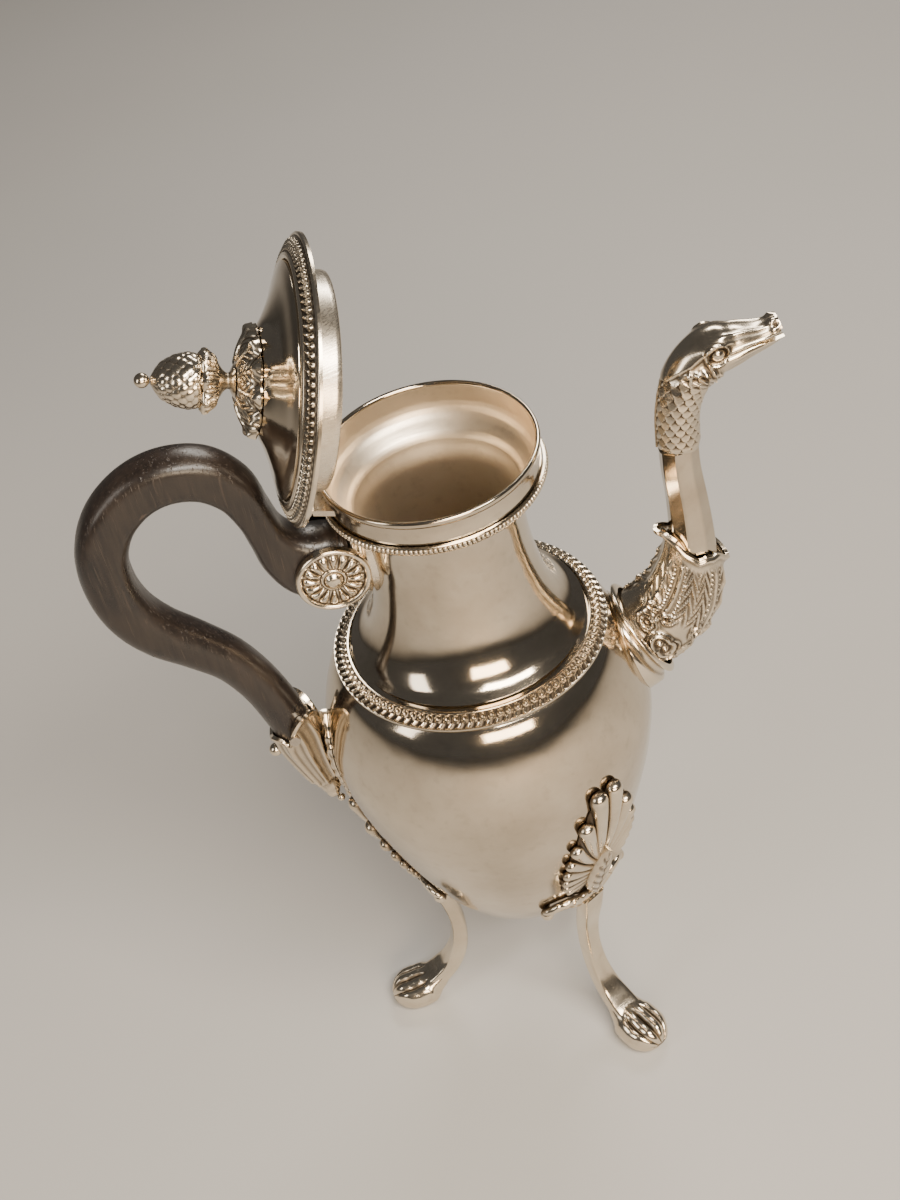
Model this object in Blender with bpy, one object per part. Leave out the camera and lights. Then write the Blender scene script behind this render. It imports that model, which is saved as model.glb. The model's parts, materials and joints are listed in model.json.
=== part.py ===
"""Three-footed silver coffee pot with a hinged lid, an animal-head spout and a wooden loop handle.

Frame: +Z up, feet on z = 0, spout towards +X, handle towards -X, symmetric about the XZ plane.
The vessel's own axis is the Z axis. Working units are millimetres, scaled to metres on the way in.
"""

import math

import bmesh
import bpy
from mathutils import Matrix, Vector

MM = 0.001
GAP = 0.3
WALL = 1.2
ROUND = 32

# Vessel heights and radii
RIM_Z = 232.5
RIM_R = 31.0
COLLAR_R = 30.3
MOUTH_R = 29.5
BEAD_Z = 223.0
BEAD_R = 32.0
NECK_R = 22.9
NECK_TOP_Z = 216.9
BOWL_LIP_R = 33.5
BOWL_LIP_Z = 166.2
SHOULDER_R = 40.1
SHOULDER_Z = 162.9
BELLY_R = 50.0
BELLY_Z = 130.2
BOWL_FLOOR_Z = 35.8

# Lid, drawn closed, and its hinge
HINGE_X = -35.55
HINGE_Z = 229.4
LID_Z = RIM_Z + 0.6
LID_R = 38.0
LID_OPEN_DEG = 72.0
BEZEL_R = 28.6
BEZEL_FLANGE_R = 29.9
BEZEL_DEPTH = 6.6
PIN_R = 0.8
KNUCKLE_R = 1.9
KNUCKLE_BORE_R = 1.1

# Spout, its line runs in the XZ plane
SPOUT_ROOT = (49.0, 145.0)
SPOUT_LINE = (
    (40.0, 141.0),
    (49.0, 145.0),
    (57.0, 149.5),
    (63.5, 156.0),
    (67.3, 165.0),
    (69.2, 176.0),
    (69.2, 190.0),
    (68.5, 203.0),
    (68.6, 211.6),
    (69.6, 224.0),
    (73.2, 233.6),
    (79.5, 238.8),
    (87.0, 240.6),
    (94.0, 241.0),
    (99.8, 242.2),
)
SPOUT_BORE = 2.8

# Handle, its line runs in the XZ plane from the neck round to the lower socket
HANDLE_LINE = (
    (-27.5, 203.2),
    (-32.5, 203.4),
    (-39.5, 206.6),
    (-44.8, 212.0),
    (-48.0, 219.0),
    (-50.0, 227.5),
    (-53.2, 237.0),
    (-60.0, 244.0),
    (-69.5, 246.2),
    (-79.0, 243.6),
    (-87.5, 236.4),
    (-92.6, 226.0),
    (-93.4, 214.5),
    (-91.0, 203.8),
    (-85.5, 194.6),
    (-77.5, 186.4),
    (-69.5, 177.2),
    (-63.8, 165.6),
    (-60.2, 153.5),
    (-57.6, 142.6),
)
HANDLE_HALF_THICK = (
    11.2, 11.8, 11.0, 8.0, 5.4, 5.2, 6.3, 7.1, 7.2, 7.1, 7.1, 7.2, 7.3, 7.4, 7.3, 6.9, 6.4, 6.2, 6.2, 6.3,
)
HANDLE_HALF_WIDE = (
    7.4, 7.5, 7.4, 6.8, 6.4, 6.3, 6.4, 6.5, 6.5, 6.5, 6.6, 6.8, 6.9, 6.9, 6.8, 6.5, 6.3, 6.1, 6.1, 6.2,
)
ROSETTE_X = -33.8
ROSETTE_Z = 204.0
ROSETTE_R = 10.6
ROSETTE_Y = 7.9
SOCKET_LINE = (
    (-57.7, 142.0),
    (-57.4, 138.0),
    (-56.6, 132.0),
    (-55.4, 125.0),
    (-54.0, 118.5),
    (-53.2, 114.0),
)

# Feet, one under the handle and two under the spout side
FOOT_ANGLES = {"rear": 180.0, "left": 60.0, "right": -60.0}
LEG_LINE = (
    (33.6, 67.0),
    (31.2, 57.0),
    (28.2, 46.0),
    (27.2, 34.5),
    (28.6, 23.5),
    (33.0, 14.5),
    (39.5, 9.0),
    (45.0, 7.2),
)
LEG_HALF_THICK = (2.2, 2.7, 2.6, 2.7, 3.0, 3.5, 4.2, 4.8)
LEG_HALF_WIDE = (4.6, 4.4, 3.4, 3.1, 3.3, 3.8, 4.6, 5.4)
PAW_REACH = 56.5
PALMETTE_LOW_Z = 64.0
PALMETTE_HIGH_Z = {"rear": 110.5, "left": 131.0, "right": 131.0}
PALMETTE_ROOM = 2.7
LEAF_LOW_Z = 113.0
LEAF_HIGH_Z = 147.0
LEAF_ROOM = 2.2


def material(name, color, metallic, roughness):
    """One Principled material with a plain colour."""
    mat = bpy.data.materials.new(name)
    mat.use_nodes = True
    shader = mat.node_tree.nodes["Principled BSDF"]
    shader.inputs["Base Color"].default_value = (*color, 1.0)
    shader.inputs["Metallic"].default_value = metallic
    shader.inputs["Roughness"].default_value = roughness
    return mat


def finish(name, bm, look, parent=None, location=(0, 0, 0), rotation=(0, 0, 0)):
    """Turn a millimetre bmesh into a closed, outward-facing object in metres."""
    bmesh.ops.remove_doubles(bm, verts=bm.verts, dist=0.002)
    bmesh.ops.recalc_face_normals(bm, faces=bm.faces)
    bmesh.ops.scale(bm, vec=(MM, MM, MM), verts=bm.verts)
    mesh = bpy.data.meshes.new(name)
    bm.to_mesh(mesh)
    bm.free()
    mesh.shade_smooth()
    mesh.set_sharp_from_angle(angle=math.radians(40))
    color, metallic, roughness = look
    mesh.materials.append(material(name, color, metallic, roughness))
    obj = bpy.data.objects.new(name, mesh)
    bpy.context.scene.collection.objects.link(obj)
    obj.parent = parent
    obj.location = Vector(location) * MM
    obj.rotation_euler = rotation
    return obj


def empty(name, location, rotation=(0, 0, 0)):
    """A parent for the pieces that share one place."""
    holder = bpy.data.objects.new(name, None)
    bpy.context.scene.collection.objects.link(holder)
    holder.location = Vector(location) * MM
    holder.rotation_euler = rotation
    return holder


def smooth(points, steps=3):
    """A Catmull-Rom curve through every given point, any number of coordinates each."""
    pts = [Vector(p) for p in points]
    pts = [2 * pts[0] - pts[1]] + pts + [2 * pts[-1] - pts[-2]]
    curve = []
    for a, b, c, d in zip(pts, pts[1:], pts[2:], pts[3:]):
        bend = 2 * a - 5 * b + 4 * c - d
        twist = 3 * b - a - 3 * c + d
        for i in range(steps):
            t = i / steps
            curve.append(0.5 * (2 * b + (c - a) * t + bend * t**2 + twist * t**3))
    curve.append(pts[-2].copy())
    return curve


def spread(values, steps=3):
    """The same smoothing for a list of sizes along a line."""
    return [v.x for v in smooth([(value, 0.0) for value in values], steps)]


def arc(cx, cz, r, start, end, count):
    """Points on a circle in the profile plane, angles in degrees."""
    turn = [math.radians(start + (end - start) * i / count) for i in range(count + 1)]
    return [Vector((cx + r * math.cos(a), cz + r * math.sin(a))) for a in turn]


def offset(curve, distance):
    """The curve moved sideways, to the left of its direction of travel."""
    moved = []
    last = len(curve) - 1
    for i, point in enumerate(curve):
        along = (curve[min(i + 1, last)] - curve[max(i - 1, 0)]).normalized()
        moved.append(point + distance * Vector((-along.y, along.x)))
    return moved


def turned_bmesh(profile, segments=ROUND):
    """A closed solid from a closed (radius, height) loop spun about Z."""
    bm = bmesh.new()
    ring = [bm.verts.new((max(p[0], 0.0), 0.0, p[1])) for p in profile]
    edges = []
    for a, b in zip(ring, ring[1:] + ring[:1]):
        if max(a.co.x, b.co.x) > 1e-6:
            edges.append(bm.edges.new((a, b)))
    bmesh.ops.spin(
        bm,
        geom=ring + edges,
        axis=(0, 0, 1),
        cent=(0, 0, 0),
        angle=math.tau,
        steps=segments,
        use_merge=True,
    )
    return bm


def turned(name, profile, look, segments=ROUND, **place):
    return finish(name, turned_bmesh(profile, segments), look, **place)


def section(half_a, half_b, power, sides):
    """Points of a rounded cross-section; power 2 is an ellipse, more is squarer."""
    points = []
    for i in range(sides):
        a = math.tau * (i + 0.5) / sides
        ca, sa = math.cos(a), math.sin(a)
        points.append(
            (
                half_a * math.copysign(abs(ca) ** (2 / power), ca),
                half_b * math.copysign(abs(sa) ** (2 / power), sa),
            )
        )
    return points


def rings_along(bm, line, thick, wide, power, sides):
    """Vertex rings square to a line in the XZ plane."""
    rings = []
    last = len(line) - 1
    for i, point in enumerate(line):
        along = (line[min(i + 1, last)] - line[max(i - 1, 0)]).normalized()
        side = Vector((-along.y, along.x))
        ring = []
        for a, b in section(thick[i], wide[i], power[i], sides):
            spot = point + side * a
            ring.append(bm.verts.new((spot.x, b, spot.y)))
        rings.append(ring)
    return rings


def bridge(bm, ring_a, ring_b):
    """Quads between two rings of equal length."""
    count = len(ring_a)
    for i in range(count):
        j = (i + 1) % count
        bm.faces.new((ring_a[i], ring_a[j], ring_b[j], ring_b[i]))


def bar_bmesh(line, thick, wide, power=2.0, sides=16):
    """A solid bar along a line in the XZ plane."""
    bm = bmesh.new()
    powers = power if isinstance(power, list) else [power] * len(line)
    rings = rings_along(bm, line, thick, wide, powers, sides)
    for a, b in zip(rings, rings[1:]):
        bridge(bm, a, b)
    bm.faces.new(rings[0])
    bm.faces.new(rings[-1])
    return bm


def pipe_bmesh(line, outer, inner, wide_ratio=1.0, power=2.0, sides=16):
    """A hollow bar, open at both ends."""
    bm = bmesh.new()
    skins = []
    for sizes in (outer, inner):
        wide = [size * wide_ratio for size in sizes]
        rings = rings_along(bm, line, sizes, wide, [power] * len(line), sides)
        for a, b in zip(rings, rings[1:]):
            bridge(bm, a, b)
        skins.append(rings)
    bridge(bm, skins[0][0], skins[1][0])
    bridge(bm, skins[0][-1], skins[1][-1])
    return bm


def box_bmesh(low, high):
    bm = bmesh.new()
    bmesh.ops.create_cube(bm, size=1.0)
    size = Vector(high) - Vector(low)
    bmesh.ops.scale(bm, vec=size, verts=bm.verts)
    bmesh.ops.translate(bm, vec=(Vector(high) + Vector(low)) / 2, verts=bm.verts)
    return bm


def cylinder_bmesh(radius, start, end, sides=24, bm=None):
    """A round bar between two points, added to a bmesh if one is given."""
    bm = bm or bmesh.new()
    start, end = Vector(start), Vector(end)
    aim = (end - start).to_track_quat("Z", "Y").to_matrix().to_4x4()
    bmesh.ops.create_cone(
        bm,
        cap_ends=True,
        segments=sides,
        radius1=radius,
        radius2=radius,
        depth=(end - start).length,
        matrix=Matrix.Translation((start + end) / 2) @ aim,
    )
    return bm


def hide(obj):
    obj.hide_render = True
    obj.display_type = "WIRE"
    return obj


def cutter(name, bm, parent=None):
    """A tool shape that is never part of the pot."""
    return hide(finish(name, bm, STEEL, parent=parent))


def combine(obj, tool, operation="DIFFERENCE"):
    """Add one Boolean step to an object."""
    step = obj.modifiers.new(tool.name, "BOOLEAN")
    step.operation = operation
    step.solver = "EXACT"
    step.object = tool


SILVER = ((0.80, 0.76, 0.68), 1.0, 0.20)
SATIN = ((0.82, 0.77, 0.68), 1.0, 0.35)
CHASED = ((0.74, 0.68, 0.58), 1.0, 0.32)
EBONY = ((0.018, 0.015, 0.014), 0.0, 0.34)
STEEL = ((0.45, 0.45, 0.45), 1.0, 0.40)


def bowl_curve(steps=2):
    """The egg-shaped outer line, from under the shoulder band down to the floor."""
    return smooth(
        (
            (SHOULDER_R, SHOULDER_Z),
            (44.6, 155.0),
            (48.4, 143.0),
            (BELLY_R, BELLY_Z),
            (47.9, 114.7),
            (43.8, 99.2),
            (38.6, 83.7),
            (32.2, 68.2),
            (24.9, 55.8),
            (15.6, 44.6),
            (7.2, 38.4),
            (0.0, BOWL_FLOOR_Z),
        ),
        steps,
    )


def bowl_radius(z):
    """Outer radius of the bowl at a height."""
    curve = bowl_curve(6)
    for a, b in zip(curve, curve[1:]):
        if b.y <= z <= a.y:
            return b.x + (a.x - b.x) * (z - b.y) / max(a.y - b.y, 1e-6)
    return 0.0


def neck_curve(steps=1):
    """The trumpet-shaped outer line of the neck, top to bottom."""
    return smooth(
        (
            (24.0, NECK_TOP_Z),
            (23.1, 212.0),
            (NECK_R, 205.5),
            (23.1, 197.5),
            (24.1, 189.0),
            (25.9, 181.0),
            (28.5, 174.6),
            (31.6, 170.4),
            (34.9, 168.0),
        ),
        steps,
    )


def body_clearance():
    """The bowl's outside with the usual gap, for trimming what is soldered to it."""
    skin = offset(bowl_curve(), GAP)
    skin[-1] = Vector((0.0, BOWL_FLOOR_Z - GAP))
    top = [Vector((0.0, BOWL_LIP_Z)), Vector((BOWL_LIP_R, BOWL_LIP_Z + GAP))]
    return cutter("clear_bowl", turned_bmesh(top + skin, 96))


def neck_clearance():
    """The same for the neck."""
    skin = offset(neck_curve(), GAP)
    ends = [Vector((0.0, skin[-1].y)), Vector((0.0, skin[0].y + 2.0)), Vector((skin[0].x, skin[0].y + 2.0))]
    return cutter("clear_neck", turned_bmesh(ends + skin, 96))


def make_vessel():
    outer = [Vector((BOWL_LIP_R, BOWL_LIP_Z))] + bowl_curve(1)
    inner = offset(outer, -WALL)
    inner[0] = Vector((BOWL_LIP_R, BOWL_LIP_Z - 1.4))
    inner[-1] = Vector((0.0, BOWL_FLOOR_Z + WALL))
    bowl = turned("bowl", outer + inner[::-1], SILVER)
    holes = bmesh.new()
    lift = Vector((0.87, 0.0, 0.49))
    across = Vector((0.0, 1.0, 0.0))
    upward = lift.cross(across) * -1
    centre = Vector((SPOUT_ROOT[0], 0.0, SPOUT_ROOT[1]))
    spots = [Vector((0.0, 0.0))]
    spots += [Vector((6.2 * math.cos(math.tau * i / 6), 6.2 * math.sin(math.tau * i / 6))) for i in range(6)]
    for spot in spots:
        middle = centre + across * spot.x + upward * spot.y
        cylinder_bmesh(2.0, middle - lift * 8, middle + lift * 8, 12, holes)
    combine(bowl, cutter("strainer_drill", holes))

    outer = neck_curve()
    inner = offset(outer, -WALL)
    inner[0] = Vector((outer[0].x - WALL, outer[0].y))
    inner[-1] = Vector((outer[-1].x - 0.5, outer[-1].y - 1.1))
    turned("neck", outer + inner[::-1], SILVER)

    slope = (Vector((SHOULDER_R, SHOULDER_Z)) - Vector((BOWL_LIP_R, BOWL_LIP_Z))).normalized()
    away = Vector((-slope.y, slope.x))
    inside = Vector((35.4, BOWL_LIP_Z + (35.4 - BOWL_LIP_R) * slope.y / slope.x))
    outside = Vector((SHOULDER_R + 0.3, SHOULDER_Z - 0.1))
    band = [inside + away * 0.4, outside + away * 0.4, outside + away * 0.9 + slope * 0.4]
    band += [outside + away * 1.6, outside + away * 1.3 - slope * 1.0, inside + away * 1.5 + slope * 1.0]
    band += [inside + away * 2.0, inside + away * 1.4 - slope * 0.1]
    turned("shoulder_band", band, CHASED)

    wall = [(MOUTH_R, RIM_Z - 0.4), (MOUTH_R + 0.6, RIM_Z), (RIM_R - 0.5, RIM_Z), (RIM_R, RIM_Z - 0.7)]
    wall += [(RIM_R - 0.2, RIM_Z - 1.6), (COLLAR_R, RIM_Z - 2.2), (COLLAR_R, BEAD_Z - 1.5)]
    wall += [(29.6, BEAD_Z - 2.8), (27.4, BEAD_Z - 4.2), (24.4, NECK_TOP_Z + GAP)]
    wall += [(23.0, NECK_TOP_Z + GAP), (23.2, NECK_TOP_Z + 1.4), (26.8, BEAD_Z - 3.0)]
    wall += [(28.6, BEAD_Z - 1.8), (MOUTH_R - 0.2, BEAD_Z - 0.2), (MOUTH_R, BEAD_Z + 2.0)]
    turned("rim_collar", wall, SILVER)

    bead = [Vector((COLLAR_R + GAP, BEAD_Z + 1.0))]
    bead += arc(BEAD_R - 1.1, BEAD_Z, 1.1, 70, -70, 5)
    bead += [Vector((COLLAR_R + GAP, BEAD_Z - 1.0))]
    turned("bead_ring", bead, CHASED)


def make_spout(bowl_tool):
    """Flange and chased sleeve on the bowl, plain eight-sided tube, scaled neck with the head."""
    line = smooth(SPOUT_LINE, 2)
    sleeve_out = (13.4, 13.3, 13.1, 12.9, 12.4, 11.8, 11.1, 10.4, 9.3, 8.4, 8.2, 8.9)
    sleeve_in = (12.2, 12.1, 11.9, 11.7, 11.2, 10.6, 9.9, 9.1, 8.0, 7.3, 7.2, 7.5)
    sleeve = finish("spout_calyx", pipe_bmesh(line[:12], sleeve_out, sleeve_in, 0.95, 2.0, 14), CHASED)
    combine(sleeve, bowl_tool)

    root = smooth(((42.0, 141.6), (51.2, 146.2)), 3)
    ring = pipe_bmesh(root, (16.6, 16.6, 16.4, 15.2), (14.1, 14.2, 14.1, 14.0), 0.97, 2.0, 20)
    combine(finish("spout_flange", ring, CHASED), bowl_tool)

    tube_out = (6.2, 6.4, 6.5, 6.4, 6.3, 6.1, 5.9, 5.8, 5.8)
    tube_in = [r - 1.3 for r in tube_out]
    finish("spout_tube", pipe_bmesh(line[8:17], tube_out, tube_in, 0.92, 2.0, 8), SILVER)

    neck = smooth(SPOUT_LINE[8:], 3)
    neck[0].y += GAP
    out = spread((5.8, 5.9, 6.9, 7.5, 6.7, 4.9, 3.9), 3)
    bore = spread((4.4, 4.2, 3.8, 3.4, SPOUT_BORE, SPOUT_BORE, SPOUT_BORE), 3)
    head = finish("spout_head", pipe_bmesh(neck, out, bore, 0.82, 2.0, 12), CHASED)
    gape = bmesh.new()
    corners = ((90.0, 240.4), (104.0, 245.8), (104.0, 239.8))
    near = [gape.verts.new((x, -9.0, z)) for x, z in corners]
    far = [gape.verts.new((x, 9.0, z)) for x, z in corners]
    bridge(gape, near, far)
    gape.faces.new(near)
    gape.faces.new(far)
    combine(head, cutter("mouth_wedge", gape))


def hinge_place(x, z):
    """A lid position, given closed, measured from the hinge axis."""
    return Vector((x - HINGE_X, 0.0, z - HINGE_Z))


def lid_piece(name, profile, look, hinge, segments=ROUND):
    """A turned piece on the lid's axis, heights measured from the lid's underside."""
    return turned(name, profile, look, segments, parent=hinge, location=hinge_place(0.0, LID_Z))


def make_lid():
    """Everything that swings with the lid, parented to an empty on the hinge axis."""
    hinge = empty("lid_hinge_axis", (HINGE_X, 0, HINGE_Z), (0, -math.radians(LID_OPEN_DEG), 0))

    border = [(LID_R, 0.0), (LID_R, 1.0), (LID_R - 1.4, 2.0), (LID_R - 4.6, 3.6), (32.2, 4.0)]
    border += [(31.0, 4.0), (31.0, 2.4), (30.2, 1.8), (30.2, 0.0)]
    lid_piece("lid_border", border, CHASED, hinge)

    outer = [Vector(p) for p in ((30.7, 4.6), (28.0, 5.6), (24.2, 6.7), (20.6, 8.0), (17.0, 9.9))]
    outer += [Vector(p) for p in ((13.6, 12.2), (9.5, 14.0), (5.0, 14.8), (1.7, 14.8))]
    inner = offset(outer, WALL)
    inner[0] = Vector((30.7, 3.2))
    inner[-1] = Vector((1.7, 14.8 - WALL))
    lid_piece("lid_dome", outer + inner[::-1], SILVER, hinge)

    bezel = [(BEZEL_R, 0.0), (BEZEL_R, -BEZEL_DEPTH + 1.6), (BEZEL_R - 0.5, -BEZEL_DEPTH)]
    bezel += [(BEZEL_R - 1.5, -BEZEL_DEPTH), (BEZEL_R - 1.2, 0.0), (BEZEL_R - 1.2, 2.9), (BEZEL_FLANGE_R, 2.9)]
    bezel += [(BEZEL_FLANGE_R, 0.4)]
    lid_piece("lid_bezel", bezel, SATIN, hinge)

    leaves = [(14.6, 12.6), (13.8, 14.6), (11.6, 16.4), (8.0, 17.2), (4.6, 17.0)]
    leaves += [(1.7, 17.0), (1.7, 15.1), (5.0, 15.1), (9.6, 14.5), (13.2, 12.9)]
    lid_piece("lid_calyx", leaves, CHASED, hinge, 24)

    stem = [(4.6, 17.5), (3.2, 18.4), (2.3, 19.6), (2.9, 21.0), (5.0, 22.0), (7.3, 22.8)]
    stem += [(7.9, 24.0), (7.3, 25.2)]
    shank = [(1.3, 25.2), (1.3, 28.0), (0.0, 28.0), (0.0, 7.0), (1.3, 7.0), (1.3, 17.5)]
    lid_piece("finial_stem", stem[::-1] + shank[::-1], CHASED, hinge, 16)

    cone = [(2.0, 38.0), (4.2, 35.4), (5.9, 32.4), (6.9, 29.4), (6.8, 27.0), (5.6, 25.6)]
    cone += [(1.7, 25.6), (1.7, 28.4), (0.0, 28.4), (0.0, 38.0)]
    lid_piece("finial_cone", cone, CHASED, hinge, 16)

    ball = arc(0.0, 40.2, 2.0, -85, 90, 6)
    ball[-1] = Vector((0.0, 42.2))
    lid_piece("finial_ball", [Vector((0.0, 38.3)), Vector((0.9, 38.3))] + ball[1:], SILVER, hinge, 12)

    nut = [(4.0, 13.0), (4.0, 10.6), (3.4, 10.0), (1.6, 10.0), (1.6, 13.0)]
    lid_piece("finial_nut", nut, STEEL, hinge, 6)

    leaf = box_bmesh((-1.1, -2.7, 1.3), (0.9, 2.7, LID_Z - HINGE_Z - GAP))
    knuckle = cylinder_bmesh(KNUCKLE_R, (0, -2.8, 0), (0, 2.8, 0), 20)
    strap = finish("lid_hinge_leaf", leaf, SATIN, parent=hinge)
    combine(strap, cutter("lid_knuckle", knuckle, hinge), "UNION")
    bore = cylinder_bmesh(KNUCKLE_BORE_R, (0, -4, 0), (0, 4, 0), 20)
    combine(strap, cutter("lid_knuckle_bore", bore, hinge))


def make_body_hinge():
    """The fixed leaf with two knuckles on the back of the collar, and the pin."""
    leaf = bmesh.new()
    outline = ((HINGE_X + 1.4, -9.0), (-27.0, -12.0), (-27.0, 12.0), (HINGE_X + 1.4, 9.0))
    low = [leaf.verts.new((x, y, HINGE_Z - 2.2)) for x, y in outline]
    high = [leaf.verts.new((x, y, HINGE_Z - 0.4)) for x, y in outline]
    bridge(leaf, low, high)
    leaf.faces.new(low)
    leaf.faces.new(high)
    plate = finish("body_hinge_leaf", leaf, SATIN)
    combine(plate, cutter("collar_clearance", cylinder_bmesh(COLLAR_R + GAP, (0, 0, 200), (0, 0, 240), 96)))
    for side, name in ((-1, "near"), (1, "far")):
        barrel = cylinder_bmesh(KNUCKLE_R, (HINGE_X, side * 3.1, HINGE_Z), (HINGE_X, side * 8.8, HINGE_Z), 20)
        combine(plate, cutter("knuckle_" + name, barrel), "UNION")
    bore = cylinder_bmesh(KNUCKLE_BORE_R, (HINGE_X, -12, HINGE_Z), (HINGE_X, 12, HINGE_Z), 20)
    combine(plate, cutter("body_knuckle_bore", bore))
    swing = cylinder_bmesh(KNUCKLE_R + 0.5, (HINGE_X, -3.1, HINGE_Z), (HINGE_X, 3.1, HINGE_Z), 24)
    combine(plate, cutter("lid_knuckle_room", swing))

    pin = [(0.0, -10.2), (1.3, -10.2), (1.3, -9.2), (PIN_R, -9.1)]
    pin += [(PIN_R, 9.1), (1.3, 9.2), (1.3, 10.2), (0.0, 10.2)]
    turned("hinge_pin", pin, STEEL, 16, location=(HINGE_X, 0, HINGE_Z), rotation=(math.pi / 2, 0, 0))


def make_handle(neck_tool):
    """The wooden loop, its rosettes, pins and the silver sockets that hold it."""
    line = smooth(HANDLE_LINE, 2)
    squareness = [2.0 + 1.4 * (1 - i / (len(line) - 1)) ** 0.7 for i in range(len(line))]
    wood = bar_bmesh(line, spread(HANDLE_HALF_THICK, 2), spread(HANDLE_HALF_WIDE, 2), squareness, 12)
    handle = finish("handle_wood", wood, EBONY)
    slot = box_bmesh((-40.6, -1.3, 196.4), (-20.0, 1.3, 211.6))
    combine(handle, cutter("tongue_slot", slot))
    top_hole = cylinder_bmesh(1.5, (ROSETTE_X, -20, ROSETTE_Z), (ROSETTE_X, 20, ROSETTE_Z), 16)
    combine(handle, cutter("top_pin_hole", top_hole))
    low_hole = cylinder_bmesh(1.3, (-58.6, -20, 146.6), (-58.6, 20, 146.6), 16)
    combine(handle, cutter("low_pin_hole", low_hole))

    pin = [(0.0, -7.6), (1.2, -7.6), (1.2, 7.6), (0.0, 7.6)]
    turned("handle_top_pin", pin, STEEL, 12, location=(ROSETTE_X, 0, ROSETTE_Z), rotation=(math.pi / 2, 0, 0))

    face = [(0.0, 0.0), (ROSETTE_R - 0.4, 0.0), (ROSETTE_R, 0.5), (ROSETTE_R, 1.6), (ROSETTE_R - 0.9, 2.2)]
    face += [(ROSETTE_R - 1.8, 1.5), (4.0, 1.3), (2.9, 1.2), (2.6, 2.2), (1.5, 3.0), (0.0, 3.2)]
    for side, name in ((-1, "right"), (1, "left")):
        turned(
            "handle_rosette_" + name,
            face,
            CHASED,
            24,
            location=(ROSETTE_X, side * ROSETTE_Y, ROSETTE_Z),
            rotation=(-side * math.pi / 2, 0, 0),
        )

    tongue = box_bmesh((-39.8, -1.0, 197.2), (-22.0, 1.0, 210.8))
    bracket = finish("handle_bracket", tongue, SATIN)
    plate = cylinder_bmesh(12.0, (-26.6, 0, 203.0), (-19.0, 0, 203.0), 32)
    combine(bracket, cutter("bracket_plate", plate), "UNION")
    combine(bracket, neck_tool)
    for side in (-1, 1):
        cheek = box_bmesh((-40.0, min(side * 7.4, side * 14), 190), (-22.8, max(side * 7.4, side * 14), 216))
        combine(bracket, cutter("rosette_room_%d" % side, cheek))
    eye = cylinder_bmesh(1.5, (ROSETTE_X, -8, ROSETTE_Z), (ROSETTE_X, 8, ROSETTE_Z), 16)
    combine(bracket, cutter("bracket_eye", eye))

    cup_line = smooth([(-59.1, 148.6), (-58.2, 145.0)] + list(SOCKET_LINE), 2)
    cup = spread((8.0, 7.8, 7.6, 6.8, 5.6, 4.5, 3.6, 2.6), 2)
    socket = finish("handle_socket", bar_bmesh(cup_line, cup, cup, 2.0, 12), CHASED)
    throat = smooth(((-60.7, 155.0), (-59.4, 149.5), (-58.5, 146.0), (-57.5, 142.2)), 2)
    bore = bar_bmesh(throat, [6.7] * 7, [6.6] * 7, 2.0)
    combine(socket, cutter("socket_bore", bore))
    cross = cylinder_bmesh(1.3, (-58.6, -20, 146.6), (-58.6, 20, 146.6), 16)
    combine(socket, cutter("socket_pin_hole", cross))
    combine(socket, cutter("leaf_room", body_skin_bmesh(LEAF_ROOM)))
    low_pin = [(0.0, -9.2), (1.7, -9.2), (1.7, -8.4), (1.0, -8.4)]
    low_pin += [(1.0, 8.4), (1.7, 8.4), (1.7, 9.2), (0.0, 9.2)]
    turned("handle_low_pin", low_pin, STEEL, 12, location=(-58.6, 0, 146.6), rotation=(math.pi / 2, 0, 0))

    def leaf_width(t):
        return 7.6 * math.sin(math.pi * min(1.0, 0.22 + 0.78 * t) ** 1.3)

    patch("handle_leaf", LEAF_LOW_Z, LEAF_HIGH_Z, leaf_width, 180.0, 0.8)


def body_skin_bmesh(thickness):
    """The bowl's outside grown by a distance, as a solid."""
    skin = offset(bowl_curve(), thickness)
    skin[-1] = Vector((0.0, BOWL_FLOOR_Z - thickness))
    return turned_bmesh([Vector((0.0, SHOULDER_Z)), Vector((SHOULDER_R, SHOULDER_Z))] + skin, 96)


def border_of(grid):
    """The vertices round the edge of a grid, in order."""
    right = [row[-1] for row in grid[1:]]
    left = [row[0] for row in grid[-2:0:-1]]
    return grid[0] + right + grid[-1][-2::-1] + left


def patch(name, low_z, high_z, half_width, azimuth, bulge, rows=10, columns=6):
    """A thin ornament lying on the bowl; half_width gives its half width from 0, its foot, to 1, its top."""
    turn = math.radians(azimuth)
    bm = bmesh.new()
    skins = []
    base = GAP + 0.1
    for raised in (False, True):
        grid = []
        for i in range(rows + 1):
            t = i / rows
            z = low_z + (high_z - low_z) * t
            slope = (bowl_radius(z + 1) - bowl_radius(z - 1)) / 2
            normal = Vector((1.0, -slope)).normalized()
            row = []
            for j in range(columns + 1):
                u = 2 * j / columns - 1
                crown = (1 - u * u) * math.sqrt(max(0.0, math.sin(math.pi * t)))
                height = base + 0.6 + bulge * crown if raised else base
                radius = bowl_radius(z)
                half_angle = half_width(t) / radius
                angle = turn + u * half_angle
                r = radius + normal.x * height
                row.append(bm.verts.new((r * math.cos(angle), r * math.sin(angle), z + normal.y * height)))
            grid.append(row)
        skins.append(grid)
    inner, outer = skins
    for grid in skins:
        for a, b in zip(grid, grid[1:]):
            for j in range(columns):
                bm.faces.new((a[j], a[j + 1], b[j + 1], b[j]))
    bridge(bm, border_of(inner), border_of(outer))
    return finish(name, bm, CHASED)


def palmette_width(t):
    """Narrow at the leg, with small volutes, opening to a fan and closing in a low arch."""
    volutes = 4.5 * math.exp(-(((t - 0.12) / 0.1) ** 2))
    fan = 14.2 * math.sin(math.pi * min(1.0, 0.16 + 0.80 * t) ** 1.5) ** 0.9
    return max(2.6, fan * 0.95 + volutes)


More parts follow.
